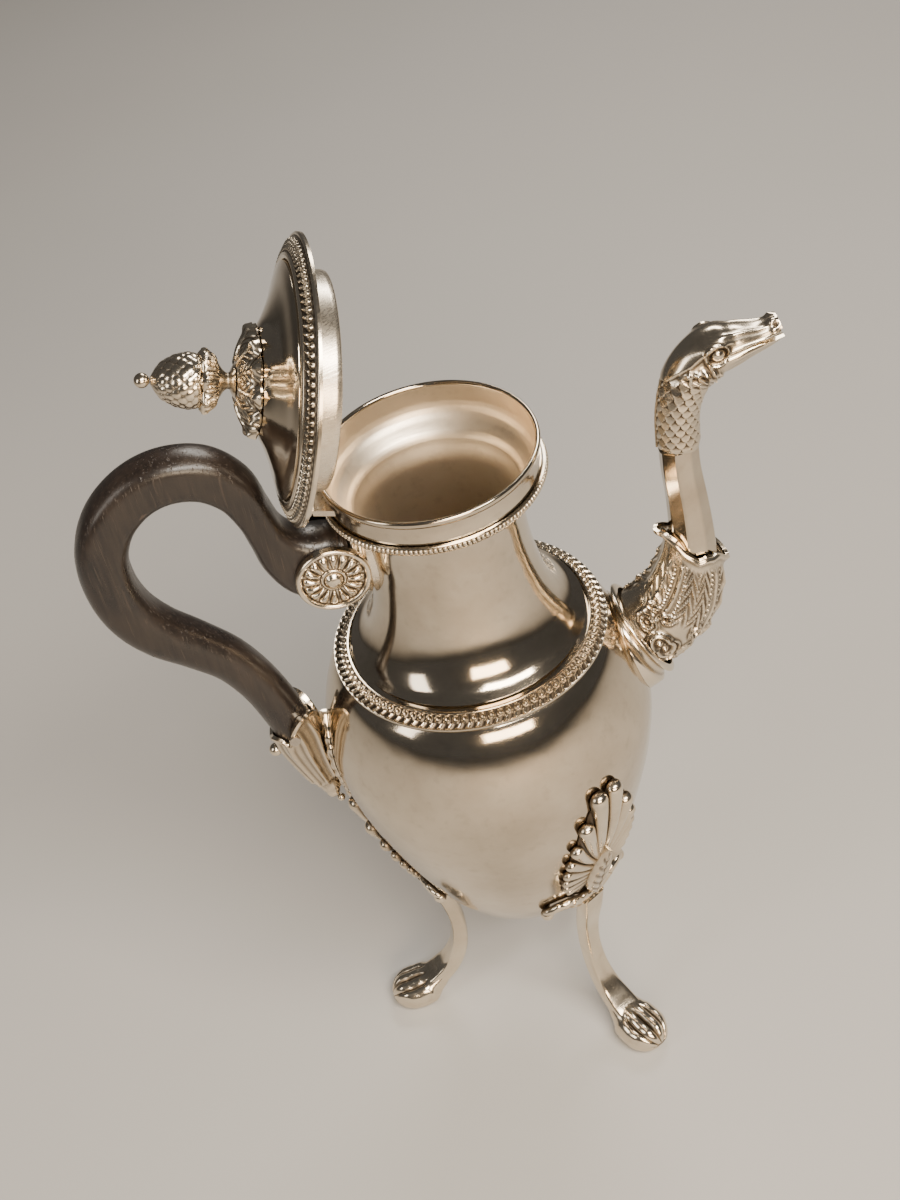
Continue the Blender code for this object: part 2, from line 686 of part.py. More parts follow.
def make_feet():
    """Three cast legs, each ending in a paw, and the palmettes that cover their tops."""
    for name, azimuth in FOOT_ANGLES.items():
        turn = (0, 0, math.radians(azimuth))
        line = smooth(LEG_LINE, 2)
        leg = bar_bmesh(line, spread(LEG_HALF_THICK, 2), spread(LEG_HALF_WIDE, 2), 2.4, 10)
        foot = finish("foot_" + name, leg, CHASED, rotation=turn)
        paw = bmesh.new()
        bmesh.ops.create_uvsphere(paw, u_segments=12, v_segments=8, radius=1.0)
        bmesh.ops.scale(paw, vec=(8.6, 6.4, 5.9), verts=paw.verts)
        bmesh.ops.translate(paw, vec=(PAW_REACH - 8.6, 0, 5.0), verts=paw.verts)
        paw_tool = cutter("paw_" + name, paw)
        paw_tool.rotation_euler = turn
        combine(foot, paw_tool, "UNION")
        ground = cutter("ground_" + name, box_bmesh((-100, -100, -30), (100, 100, 0)))
        combine(foot, ground)
        combine(foot, cutter("leg_room_" + name, body_skin_bmesh(PALMETTE_ROOM)))
        top = PALMETTE_HIGH_Z[name]
        patch("palmette_" + name, PALMETTE_LOW_Z, top, palmette_width, azimuth, 1.0, 12, 6)


def main():
    for obj in list(bpy.data.objects):
        bpy.data.objects.remove(obj, do_unlink=True)
    bowl_tool = body_clearance()
    neck_tool = neck_clearance()
    make_vessel()
    make_spout(bowl_tool)
    make_lid()
    make_body_hinge()
    make_handle(neck_tool)
    make_feet()


main()
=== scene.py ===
"""A silver three-footed coffee pot with an open lid, an animal-head spout and a black wooden handle.

Lengths are millimetres until a piece is made. The pot's axis is Z, the spout points along +X.
"""
import json
import math

import bmesh
import bpy
import numpy as np
from mathutils import Euler, Matrix, Vector

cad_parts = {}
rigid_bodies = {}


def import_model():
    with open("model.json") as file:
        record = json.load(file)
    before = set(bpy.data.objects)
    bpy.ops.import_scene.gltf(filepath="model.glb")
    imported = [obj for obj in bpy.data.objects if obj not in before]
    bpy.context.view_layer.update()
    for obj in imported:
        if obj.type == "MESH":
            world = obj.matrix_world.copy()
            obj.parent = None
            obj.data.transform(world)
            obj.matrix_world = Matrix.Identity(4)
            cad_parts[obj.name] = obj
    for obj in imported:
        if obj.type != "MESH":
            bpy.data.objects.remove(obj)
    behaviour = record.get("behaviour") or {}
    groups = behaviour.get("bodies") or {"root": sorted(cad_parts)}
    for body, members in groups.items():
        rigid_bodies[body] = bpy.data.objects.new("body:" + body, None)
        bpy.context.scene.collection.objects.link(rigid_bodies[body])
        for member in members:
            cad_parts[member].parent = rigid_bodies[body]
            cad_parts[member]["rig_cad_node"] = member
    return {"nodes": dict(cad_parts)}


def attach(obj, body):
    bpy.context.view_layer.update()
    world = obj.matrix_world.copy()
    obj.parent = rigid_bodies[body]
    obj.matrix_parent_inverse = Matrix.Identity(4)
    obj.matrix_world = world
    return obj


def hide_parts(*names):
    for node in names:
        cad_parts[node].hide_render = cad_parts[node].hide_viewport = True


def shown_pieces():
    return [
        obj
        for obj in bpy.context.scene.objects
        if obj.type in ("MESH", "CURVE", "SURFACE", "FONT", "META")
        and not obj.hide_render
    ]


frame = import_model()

MM = 0.001
TURN = 2 * math.pi
CREASE = 32.0  # degrees between faces above which an edge stays sharp
SHARP_RELIEF = 50.0  # the same for chased work
SWEPT_RELIEF = 60.0  # and for work on a swept or laid surface
MERGE = 1e-7  # metres
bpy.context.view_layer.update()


# ---------------------------------------------------------------- curves and grids

def resample(points, spacing):
    """Points at equal distances along a line."""
    points = np.asarray(points, float)
    steps = np.linalg.norm(np.diff(points, axis=0), axis=1)
    walked = np.concatenate([[0.0], np.cumsum(steps)])
    count = max(2, int(round(walked[-1] / spacing)) + 1)
    at = np.linspace(0.0, walked[-1], count)
    return np.stack([np.interp(at, walked, points[:, k]) for k in range(points.shape[1])], axis=1)


def spline(points, spacing=None, steps=12):
    """A Catmull-Rom curve through every point, any number of coordinates each."""
    p = np.asarray(points, float)
    p = np.vstack([2 * p[0] - p[1], p, 2 * p[-1] - p[-2]])
    t = np.arange(steps)[:, None] / steps
    parts = []
    for a, b, c, d in zip(p, p[1:], p[2:], p[3:]):
        square, cube = 2 * a - 5 * b + 4 * c - d, 3 * b - a - 3 * c + d
        parts.append(0.5 * (2 * b + (c - a) * t + square * t**2 + cube * t**3))
    parts.append(p[-2:-1])
    curve = np.vstack(parts)
    return resample(curve, spacing) if spacing else curve


def fillet(points, radius, closed=True, steps=4):
    """A polyline with its corners rounded."""
    p = np.asarray(points, float)
    count = len(p)
    out = []
    for i in range(count):
        if not closed and i in (0, count - 1):
            out.append(p[i][None])
            continue
        before, here, after = p[i - 1], p[i], p[(i + 1) % count]
        back, ahead = before - here, after - here
        lb, la = np.linalg.norm(back), np.linalg.norm(ahead)
        cut = min(radius, 0.45 * lb, 0.45 * la)
        start, end = here + back / lb * cut, here + ahead / la * cut
        t = np.linspace(0, 1, steps + 1)[:, None]
        out.append((1 - t) ** 2 * start + 2 * t * (1 - t) * here + t**2 * end)
    return np.vstack(out)


def refine(points, spacing, closed=True):
    """Extra points on long straight stretches, so that relief has something to move."""
    p = np.asarray(points, float)
    loop = np.vstack([p, p[:1]]) if closed else p
    out = []
    for a, b in zip(loop, loop[1:]):
        n = max(1, int(math.ceil(np.linalg.norm(b - a) / spacing)))
        out.append(a + (b - a) * (np.arange(n) / n)[:, None])
    if not closed:
        out.append(loop[-1:])
    return np.vstack(out)


def offset(curve, distance):
    """The curve moved to the left of its direction of travel."""
    curve = np.asarray(curve, float)
    along = np.gradient(curve, axis=0)
    along /= np.linalg.norm(along, axis=1)[:, None]
    return curve + distance * np.stack([-along[:, 1], along[:, 0]], axis=1)


def around(count):
    """Equal angles round a section, as one row."""
    return np.arange(count)[None] * TURN / count


def swelling(squared):
    """The rounded profile of a bead: 1 in the middle, 0 where the squared distance reaches 1."""
    return np.sqrt(np.clip(1 - squared, 0, 1))


def ease(low, high, x):
    """0 below low, 1 above high, smooth between."""
    t = np.clip((x - low) / (high - low), 0.0, 1.0)
    return t * t * (3 - 2 * t)


def bell(x, width):
    return np.exp(-((x / width) ** 2))


def within(x, low, high, soft):
    return ease(low - soft, low + soft, x) * (1 - ease(high - soft, high + soft, x))


def repeat(angle, count, shift=0.0):
    """Position inside a repeat, from -0.5 to 0.5."""
    return (angle * count / TURN + shift) % 1.0 - 0.5


class Shape:
    """A mesh in the making: vertices in millimetres and faces."""

    def __init__(self):
        self.verts = []
        self.faces = []
        self.looks = []
        self.count = 0

    def grid(self, points, wrap_rows=False, wrap_cols=True, caps=False, look=0):
        """Quads over a (rows, columns, 3) array; look is a material number, or one for each row."""
        rows, cols = points.shape[:2]
        index = np.arange(rows * cols).reshape(rows, cols) + self.count
        self.verts.append(points.reshape(-1, 3))
        self.count += rows * cols
        down = np.arange(rows if wrap_rows else rows - 1)
        along = np.arange(cols if wrap_cols else cols - 1)
        i, j = np.meshgrid(down, along, indexing="ij")
        i2, j2 = (i + 1) % rows, (j + 1) % cols
        quads = np.stack([index[i, j], index[i2, j], index[i2, j2], index[i, j2]], axis=-1).reshape(-1, 4)
        self.faces += quads.tolist()
        row_look = np.broadcast_to(np.asarray(look), (rows,))
        self.looks += row_look[i.reshape(-1)].tolist()
        if caps:
            for row in (0, rows - 1):
                self.verts.append(points[row].mean(axis=0)[None])
                centre = self.count
                self.count += 1
                for k in range(cols):
                    self.faces.append([index[row, k], index[row, (k + 1) % cols], centre])
                    self.looks.append(int(row_look[row]))
        return self

    def ball(self, centre, radii, sides=20, rings=12):
        """A round or egg-shaped knob."""
        tilt = np.linspace(0.04, math.pi - 0.04, rings)[:, None]
        angle = around(sides)
        points = np.stack(
            [np.sin(tilt) * np.cos(angle), np.sin(tilt) * np.sin(angle), np.cos(tilt) + 0 * angle], axis=-1
        )
        return self.grid(points * np.asarray(radii, float) + np.asarray(centre, float), caps=True)

    def move(self, matrix):
        """Every vertex so far goes through a 4x4 matrix."""
        m = np.array(matrix)
        self.verts = [v @ m[:3, :3].T + m[:3, 3] for v in self.verts]
        return self


def revolve(profile, segments, relief=None, closed=True, look=0):
    """A turned solid from (radius, height) points; relief(angle, radius, height) moves it outwards."""
    p = np.asarray(profile, float)
    nxt = np.roll(p, -1, axis=0)
    if np.sum(p[:, 0] * nxt[:, 1] - nxt[:, 0] * p[:, 1]) > 0:
        p = p[::-1]
    tangent = np.roll(p, -1, axis=0) - np.roll(p, 1, axis=0) if closed else np.gradient(p, axis=0)
    tangent /= np.maximum(np.linalg.norm(tangent, axis=1), 1e-9)[:, None]
    angle = around(segments)
    r, z = p[:, :1], p[:, 1:]
    push = relief(angle, r, z) if relief else np.zeros((len(p), segments))
    radius = r - tangent[:, 1:] * push
    height = z + tangent[:, :1] * push
    points = np.stack([radius * np.cos(angle), radius * np.sin(angle), height + 0 * angle], axis=-1)
    rows = look(p) if callable(look) else look
    return Shape().grid(points, wrap_rows=closed, caps=not closed, look=rows)


def frames(line):
    along = np.gradient(line, axis=0)
    along /= np.linalg.norm(along, axis=1)[:, None]
    return np.stack([-along[:, 1], along[:, 0]], axis=1)


def sweep_points(line, a, b):
    """Rings square to a line in the XZ plane: a is measured left of travel in that plane, b along Y."""
    side = frames(line)
    x = line[:, :1] + side[:, :1] * a
    z = line[:, 1:] + side[:, 1:] * a
    return np.stack([x, b + 0 * a, z], axis=-1)


def slab(outline, half_width):
    """A block from an outline in the XZ plane, with the same width on both sides of it."""
    ends = [[(x, y, z) for x, z in outline] for y in (-half_width, half_width)]
    return Shape().grid(np.array(ends), caps=True)


def squarish(angle, half_a, half_b, power):
    """A rounded section; power 2 is an ellipse, more is squarer."""
    ca, sa = np.cos(angle), np.sin(angle)
    a = half_a * np.sign(ca) * np.abs(ca) ** (2 / power)
    b = half_b * np.sign(sa) * np.abs(sa) ** (2 / power)
    return a, b


def along_line(points, values, spacing):
    """A smooth line with smooth values carried along it, as equal steps."""
    data = np.hstack([np.asarray(points, float), np.asarray(values, float).reshape(len(points), -1)])
    curve = spline(data, steps=12)
    steps = np.linalg.norm(np.diff(curve[:, :2], axis=0), axis=1)
    walked = np.concatenate([[0.0], np.cumsum(steps)])
    count = int(round(walked[-1] / spacing)) + 1
    at = np.linspace(0, walked[-1], count)
    out = np.stack([np.interp(at, walked, curve[:, k]) for k in range(curve.shape[1])], axis=1)
    return out[:, :2], out[:, 2:]


def picked(values, at):
    """Values given at equal steps along a line, read at a grid of fractions of its length."""
    steps = np.linspace(0.0, 1.0, len(values))
    return np.interp(at.reshape(-1), steps, values).reshape(at.shape)


def round_section(line, radius, at, narrow=1.0):
    """Points at a radius round the line, where each column may stop at its own fraction of the length."""
    side = frames(line)
    angle = around(at.shape[1])
    a, b = squarish(angle, radius, radius * narrow, 2.0)
    x = picked(line[:, 0], at) + picked(side[:, 0], at) * a
    z = picked(line[:, 1], at) + picked(side[:, 1], at) * a
    return np.stack([x, b, z], axis=-1)


# ---------------------------------------------------------------- materials

class Nodes:
    """Short names for building a node material."""

    def __init__(self, name):
        self.mat = bpy.data.materials.new(name)
        self.mat.use_nodes = True
        self.tree = self.mat.node_tree
        self.shader = self.tree.nodes["Principled BSDF"]

    def add(self, kind, **inputs):
        node = self.tree.nodes.new(kind)
        for key, value in inputs.items():
            node.inputs[key.replace("_", " ")].default_value = value
        return node

    def link(self, out, into):
        self.tree.links.new(out, into)

    def coords(self, scale=(1, 1, 1), turn=(0, 0, 0)):
        source = self.add("ShaderNodeTexCoord")
        mapping = self.add("ShaderNodeMapping")
        mapping.inputs["Scale"].default_value = scale
        mapping.inputs["Rotation"].default_value = turn
        self.link(source.outputs["Object"], mapping.inputs["Vector"])
        return mapping.outputs["Vector"]

    def noise(self, vector, scale, detail=4.0, rough=0.55, distort=0.0):
        node = self.add("ShaderNodeTexNoise", Scale=scale, Detail=detail, Roughness=rough, Distortion=distort)
        self.link(vector, node.inputs["Vector"])
        return node.outputs["Fac"]

    def spread(self, value, low, high, out_low=0.0, out_high=1.0):
        node = self.add("ShaderNodeMapRange")
        for key, number in (("From Min", low), ("From Max", high), ("To Min", out_low), ("To Max", out_high)):
            node.inputs[key].default_value = number
        self.link(value, node.inputs["Value"])
        return node.outputs["Result"]

    def math(self, kind, a, b):
        node = self.tree.nodes.new("ShaderNodeMath")
        node.operation = kind
        for slot, value in zip(node.inputs, (a, b)):
            if isinstance(value, (int, float)):
                slot.default_value = value
            else:
                self.link(value, slot)
        return node.outputs["Value"]

    def mix(self, factor, a, b):
        node = self.tree.nodes.new("ShaderNodeMix")
        node.data_type = "RGBA"
        sockets = [s for s in node.inputs if s.type == "RGBA"]
        if isinstance(factor, (int, float)):
            node.inputs[0].default_value = factor
        else:
            self.link(factor, node.inputs[0])
        for slot, value in zip(sockets, (a, b)):
            if isinstance(value, tuple):
                slot.default_value = (*value, 1.0)
            else:
                self.link(value, slot)
        return next(s for s in node.outputs if s.type == "RGBA")

    def bump(self, height, distance, strength=1.0, normal=None):
        node = self.add("ShaderNodeBump", Distance=distance, Strength=strength)
        self.link(height, node.inputs["Height"])
        if normal is not None:
            self.link(normal, node.inputs["Normal"])
        return node.outputs["Normal"]


def silver(name, bright, dull, rough, wear, hollow_tarnish_and_shade, ripple, brushed=0.0):
    """Old silver: warm and clean on the high places, brown tarnish and painted shade in the hollows, with
    fine rubbing marks.
    """
    n = Nodes(name)
    base = n.coords()
    cloud = n.spread(n.noise(base, 34.0, 5.0, 0.6), 0.38, 0.72)
    spots = n.spread(n.noise(base, 260.0, 3.0, 0.6), 0.55, 0.75)
    colour = n.mix(n.math("MULTIPLY", cloud, 0.75), bright, dull)
    colour = n.mix(n.math("MULTIPLY", spots, 0.22), colour, tuple(c * 0.62 for c in dull))
    rub = n.noise(n.coords((1, 1, 9), (0.5, 0.3, 0.2)), 900.0, 2.0, 0.7)
    rubbed = n.spread(rub, 0.35, 0.7, rough - wear, rough + wear)
    gloss = n.math("ADD", rubbed, n.math("MULTIPLY", cloud, wear))
    if hollow_tarnish_and_shade > 0:
        low = n.tree.nodes.new("ShaderNodeAttribute")
        low.attribute_name = "hollow"
        # painted shade: the hollow attribute darkens the colour to near-black brown in grooves and low
        # places, partly tarnish and partly painted shade
        colour = n.mix(n.math("MULTIPLY", low.outputs["Fac"], hollow_tarnish_and_shade), colour, (0.060, 0.040, 0.024))
        gloss = n.math("ADD", gloss, n.math("MULTIPLY", low.outputs["Fac"], 0.25))
    n.link(colour, n.shader.inputs["Base Color"])
    n.link(gloss, n.shader.inputs["Roughness"])
    n.shader.inputs["Metallic"].default_value = 1.0
    wave = n.noise(base, 46.0, 2.0, 0.4)
    normal = n.bump(wave, ripple)
    fine = n.noise(base, 2600.0, 2.0, 0.5)
    normal = n.bump(fine, 0.000012, 0.7, normal)
    if brushed > 0:
        marks = n.noise(n.coords((0.06, 0.06, 1.0)), 2400.0, 3.0, 0.6)
        normal = n.bump(marks, brushed, 1.0, normal)
    n.link(normal, n.shader.inputs["Normal"])
    return n.mat


def black_wood(name):
    """Blackened hardwood, rubbed brown on its edges, with short pores along a straight grain."""
    n = Nodes(name)
    base = n.coords()
    grain = n.noise(n.coords((1.0, 1.0, 0.09), (0.0, 0.65, 0.0)), 620.0, 4.0, 0.6, 0.3)
    pores = n.spread(n.noise(n.coords((1.0, 1.0, 0.05), (0.0, 0.65, 0.0)), 1500.0, 2.0, 0.5), 0.60, 0.74)
    cloud = n.spread(n.noise(base, 60.0, 4.0, 0.6), 0.35, 0.7)
    colour = n.mix(n.spread(grain, 0.35, 0.7), (0.0075, 0.0062, 0.006), (0.022, 0.0165, 0.0135))
    colour = n.mix(n.math("MULTIPLY", cloud, 0.45), colour, (0.030, 0.021, 0.016))
    point = n.tree.nodes.new("ShaderNodeNewGeometry").outputs["Pointiness"]
    colour = n.mix(n.math("MULTIPLY", n.spread(point, 0.505, 0.56), 0.6), colour, (0.075, 0.052, 0.040))
    colour = n.mix(n.math("MULTIPLY", pores, 0.5), colour, (0.055, 0.040, 0.030))
    n.link(colour, n.shader.inputs["Base Color"])
    gloss = n.math("ADD", n.spread(cloud, 0.0, 1.0, 0.24, 0.36), n.math("MULTIPLY", pores, 0.25))
    n.link(gloss, n.shader.inputs["Roughness"])
    n.shader.inputs["Specular IOR Level"].default_value = 0.55
    normal = n.bump(grain, 0.00006)
    normal = n.bump(n.math("MULTIPLY", pores, -1.0), 0.00008, 0.8, normal)
    normal = n.bump(n.noise(base, 90.0, 2.0), 0.0005, 0.5, normal)
    n.link(normal, n.shader.inputs["Normal"])
    return n.mat


POLISHED = silver("polished_silver", (0.66, 0.575, 0.455), (0.44, 0.36, 0.265), 0.10, 0.035, 0.0, 0.00035)
SATIN = silver("satin_silver", (0.84, 0.75, 0.62), (0.62, 0.52, 0.39), 0.28, 0.06, 0.0, 0.00025, 0.00004)
# the silver inside the mouth: a rougher finish, and a colour lighter than the outer silver as painted light
# falling into the mouth
INSIDE_PAINTED_LIGHT = silver("inside_silver_painted_light", (0.94, 0.83, 0.67), (0.80, 0.66, 0.49), 0.40, 0.06, 0.0, 0.0004, 0.00003)
# the chased silver's hollows get the strongest painted shade, 0.93 of the way to near-black brown
CHASED = silver("chased_silver", (0.80, 0.705, 0.565), (0.58, 0.48, 0.35), 0.17, 0.05, 0.93, 0.0001)
STEEL = silver("pin_metal", (0.60, 0.55, 0.48), (0.40, 0.35, 0.29), 0.32, 0.06, 0.5, 0.0001, 0.00002)
WOOD = black_wood("black_wood")


def built(name, shape):
    """A shape as a linked object in metres, its doubled points merged and its faces turned outwards."""
    mesh = bpy.data.meshes.new(name)
    mesh.from_pydata((np.vstack(shape.verts) * MM).tolist(), [], shape.faces)
    mesh.polygons.foreach_set("material_index", np.asarray(shape.looks, np.int32))
    bm = bmesh.new()
    bm.from_mesh(mesh)
    bmesh.ops.remove_doubles(bm, verts=bm.verts, dist=MERGE)
    bmesh.ops.recalc_face_normals(bm, faces=bm.faces[:])
    bm.to_mesh(mesh)
    bm.free()
    obj = bpy.data.objects.new(name, mesh)
    bpy.context.scene.collection.objects.link(obj)
    return obj


def piece(name, shape, look, body, nodes=(), crease=CREASE):
    """The finished object, riding on its body and standing for its CAD nodes."""
    obj = built(name, shape)
    mesh = obj.data
    mesh.shade_smooth()
    mesh.set_sharp_from_angle(angle=math.radians(crease))
    for mat in look if isinstance(look, tuple) else (look,):
        mesh.materials.append(mat)
    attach(obj, body)
    if nodes:
        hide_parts(*nodes)
    return obj


def chased(name, shape, nodes, crease=SHARP_RELIEF):
    """A piece of the pot in chased silver."""
    return piece(name, shape, CHASED, "pot", nodes, crease)


def carve(obj, shape, operation="DIFFERENCE"):
    """Cut a shape out of an object, and keep only the result."""
    tool = built("tool", shape)
    step = obj.modifiers.new("cut", "BOOLEAN")
    step.operation = operation
    step.solver = "EXACT"
    step.object = tool
    graph = bpy.context.evaluated_depsgraph_get()
    done = bpy.data.meshes.new_from_object(obj.evaluated_get(graph))
    obj.modifiers.clear()
    obj.data = done
    done.shade_smooth()
    done.set_sharp_from_angle(angle=math.radians(CREASE))
    bpy.data.objects.remove(tool, do_unlink=True)


# ---------------------------------------------------------------- vessel

RIM_Z = 232.5
BEAD_Z = 223.0
WALL = 1.2
SLEEVE_WALL = 1.1

BOWL_OUT = spline(
    [(33.5, 166.2), (40.1, 162.9), (44.6, 155.0), (48.4, 143.0), (50.0, 130.2), (47.9, 114.7), (43.8, 99.2),
     (38.6, 83.7), (32.2, 68.2), (24.9, 55.8), (15.6, 44.6), (7.2, 38.4), (0.6, 35.9)],
    1.4,
)
NECK_OUT = spline(
    [(24.0, 216.9), (23.1, 212.0), (22.9, 205.5), (23.1, 197.5), (24.1, 189.0), (25.9, 181.0),
     (28.5, 174.6), (31.6, 170.4), (34.9, 168.0)],
    0.9,
)


def bowl_radius(z):
    return np.interp(z, BOWL_OUT[::-1, 1], BOWL_OUT[::-1, 0])


def on_bowl(azimuth, across, z, height):
    """A point at a distance across and a height above the bowl's skin."""
    radius = bowl_radius(z)
    slope = (bowl_radius(z + 1.0) - bowl_radius(z - 1.0)) / 2
    length = np.sqrt(1 + slope**2)
    angle = math.radians(azimuth) + across / radius
    r = radius + height / length
    return np.stack([r * np.cos(angle), r * np.sin(angle), z - height * slope / length], axis=-1)


def inside_look(p):
    """Row materials: the second one where the profile is on its way back up the inside."""
    lowest = int(np.argmin(p[:, 1]))
    rows = np.zeros(len(p), int)
    rows[lowest:] = 1
    return rows


def make_vessel():
    inner = offset(BOWL_OUT, -WALL)
    inner = inner[inner[:, 0] > 0.5]
    piece("silver_bowl", revolve(np.vstack([BOWL_OUT, inner[::-1]]), 160, look=inside_look),
          (POLISHED, INSIDE_PAINTED_LIGHT), "pot", ("bowl",))
    inner = offset(NECK_OUT, -WALL)
    inner[:, 0] += 0.65 * ease(210.0, 217.0, inner[:, 1])
    piece("silver_neck", revolve(np.vstack([NECK_OUT, inner[::-1]]), 144, look=inside_look),
          (POLISHED, INSIDE_PAINTED_LIGHT), "pot", ("neck",))

    collar = [(29.5, RIM_Z - 0.7), (29.9, RIM_Z - 0.1), (30.5, RIM_Z), (30.9, RIM_Z - 0.4),
              (31.0, RIM_Z - 1.0), (30.8, RIM_Z - 1.7), (30.35, RIM_Z - 2.2), (30.15, RIM_Z - 4.5),
              (30.3, BEAD_Z + 0.8), (30.3, BEAD_Z - 1.5), (29.6, BEAD_Z - 2.8), (27.4, BEAD_Z - 4.2),
              (24.6, 217.1), (24.0, 216.9), (23.38, 216.3), (23.45, 217.0), (23.9, 218.2), (24.7, 219.3),
              (26.0, 220.4), (27.4, 221.5), (28.5, 222.7), (29.2, 224.2), (29.5, 226.0)]
    profile = refine(fillet(collar, 0.5), 0.8)
    piece("rim_and_collar", revolve(profile, 160, look=inside_look),
          (POLISHED, INSIDE_PAINTED_LIGHT), "pot", ("rim_collar",))

    def beads(angle, r, z):
        across = (z - BEAD_Z) / 0.86
        u = repeat(angle, 150) / 0.48
        pearl = np.sqrt(np.clip(1 - u**2 - across**2, 0, 1))
        return 0.72 * pearl * ease(30.7, 31.1, r)

    ring = [(30.65, BEAD_Z + 1.25), (31.25, BEAD_Z + 1.25), (31.4, BEAD_Z + 0.95), (31.15, BEAD_Z + 0.8),
            (31.15, BEAD_Z - 0.8), (31.4, BEAD_Z - 0.95), (31.25, BEAD_Z - 1.25), (30.65, BEAD_Z - 1.25)]
    chased("bead_row", revolve(refine(ring, 0.12), 150 * 10, beads), ("bead_ring",), CREASE)

    inside, outside = np.array([35.4, 165.25]), np.array([40.4, 162.8])
    slope = (outside - inside) / np.linalg.norm(outside - inside)
    away = np.array([-slope[1], slope[0]])
    width = float(np.linalg.norm(outside - inside))

    def loops(angle, r, z):
        x = (r - inside[0]) * slope[0] + (z - inside[1]) * slope[1]
        h = (r - inside[0]) * away[0] + (z - inside[1]) * away[1]
        return 0.75 * milled(angle, x / width, 92) * ease(0.8, 0.95, h)

    flat = [(0.0, 0.35), (0.0, 1.5), (0.35, 1.75), (0.7, 1.5), (0.8, 1.05), (width - 0.9, 1.05),
            (width - 0.7, 1.45), (width - 0.35, 1.7), (width - 0.05, 1.4), (width, 0.35)]
    band = [inside + slope * x + away * h for x, h in flat]
    chased("milled_band", revolve(refine(band, 0.2), 92 * 14, loops), ("shoulder_band",))


def milled(angle, t, count):
    """Small loops in one row with slanted tongues below them; t runs across the band from 0 to 1."""
    u = repeat(angle, count)
    ring = np.hypot(u * 1.05, (t - 0.36) * 1.5)
    loop = bell(ring - 0.30, 0.085) * (1 - ease(0.52, 0.60, t)) * ease(0.12, 0.18, t)
    seed = 0.7 * bell(ring, 0.12)
    v = repeat(angle, count, (t - 0.66) * 1.1 + 0.5)
    tongue = bell(v, 0.20) * within(t, 0.56, 0.86, 0.05)
    return np.maximum(np.maximum(loop, seed), tongue)


# ---------------------------------------------------------------- spout

SPOUT_LINE = [
    (40.0, 141.0), (49.0, 145.0), (57.0, 149.5), (63.5, 156.0), (67.3, 165.0), (69.2, 176.0), (69.2, 190.0),
    (68.5, 203.0), (68.6, 211.6), (69.6, 224.0), (73.2, 233.6), (79.5, 238.8), (87.0, 240.6), (94.0, 241.0),
    (99.8, 242.2),
]


def pipe(line, outer_a, outer_b, inner, power=2.0):
    """A hollow swept solid from outer sections and a round bore."""
    sides = outer_a.shape[1]
    out = sweep_points(line, outer_a, outer_b)
    bore_a, bore_b = squarish(around(sides), inner[:, None], inner[:, None], power)
    return Shape().grid(np.vstack([out, sweep_points(line, bore_a, bore_b)[::-1]]), wrap_rows=True)


def make_spout():
    bowl_space = revolve(np.vstack([[(0.4, 166.0)], offset(BOWL_OUT, 0.05)]), 128, closed=False)

    # the flange: two thin rings with a hollow between them
    rings = [(41.0, 141.1, 16.9), (46.4, 143.8, 16.9), (47.6, 144.4, 16.6), (48.3, 144.75, 15.1),
             (49.4, 145.3, 14.5), (50.2, 145.7, 15.0), (50.6, 145.9, 16.0), (51.2, 146.2, 15.9),
             (51.7, 146.45, 14.6)]
    rings = np.array(rings)
    line, size = along_line(rings[:, :2], rings[:, 2:], 0.25)
    angle = around(96)
    a, b = squarish(angle, size, size * 0.97, 2.0)
    flange = chased("spout_flange_rings", pipe(line, a, b, np.full(len(line), 13.9)),
                    ("spout_flange",), CREASE)
    carve(flange, bowl_space)

    # the chased sleeve, each side rising to its own leaf tip
    line, size = along_line(SPOUT_LINE[:7], [13.4, 13.1, 12.6, 11.9, 10.3, 8.2, 7.3], 0.5)
    angle = around(192)
    inner_tip, side_end, outer_tip = 0.90, 0.75, 0.69
    lean = np.cos(angle)
    end = side_end + (inner_tip - side_end) * np.clip(lean, 0, 1) ** 1.6
    end = end + (outer_tip - side_end) * bell(np.abs(angle - math.pi), 0.55) * 1.35
    end = end - 0.006 * (0.5 + 0.5 * np.cos(angle * 12))
    t = np.linspace(0.0, 1.0, 150)[:, None]
    at = t * end

    radius = picked(size[:, 0], at)
    from_inside = angle * (angle < math.pi) + (TURN - angle) * (angle >= math.pi)
    from_outside = np.abs(angle - math.pi)
    curl = 3.2 * bell(from_inside, 0.38) + 1.9 * bell(from_outside, 0.40) + 0.2
    curl = (ease(0.90, 1.0, t) ** 1.5) * curl
    edge = 0.6 * bell(t - 0.975, 0.016) * (1 - ease(0.985, 1.0, t))
    relief = chased_leaves(angle, at, t)
    radius_out = radius + curl + edge + relief

    outside = round_section(line, radius_out, at, 0.95)
    inside = round_section(line, radius_out - SLEEVE_WALL, at, 0.95)
    shell = Shape().grid(np.vstack([outside, inside[::-1]]), wrap_rows=True)
    sleeve = chased("spout_leaf_sleeve", shell, ("spout_calyx",), CREASE)
    carve(sleeve, bowl_space)

    # the plain eight-sided tube, its edges barely broken
    line, size = along_line(SPOUT_LINE[3:9], [9.6, 8.9, 7.2, 6.4, 6.0, 5.9], 0.8)
    side = TURN / 8
    bevel = 0.05
    corner = (np.arange(8) + 0.5) * side
    angle = np.sort(np.concatenate([corner - bevel, corner + bevel]))[None]
    reach = 1.0 / np.cos(np.minimum(np.abs(repeat(angle, 8)) * side, side / 2 - bevel))
    a = size * 0.955 * reach * np.cos(angle)
    b = size * 0.955 * 0.93 * reach * np.sin(angle)
    piece("spout_eight_sided", pipe(line, a, b, size[:, 0] - 1.4), POLISHED, "pot", ("spout_tube",),
          16.0)

    make_spout_head()


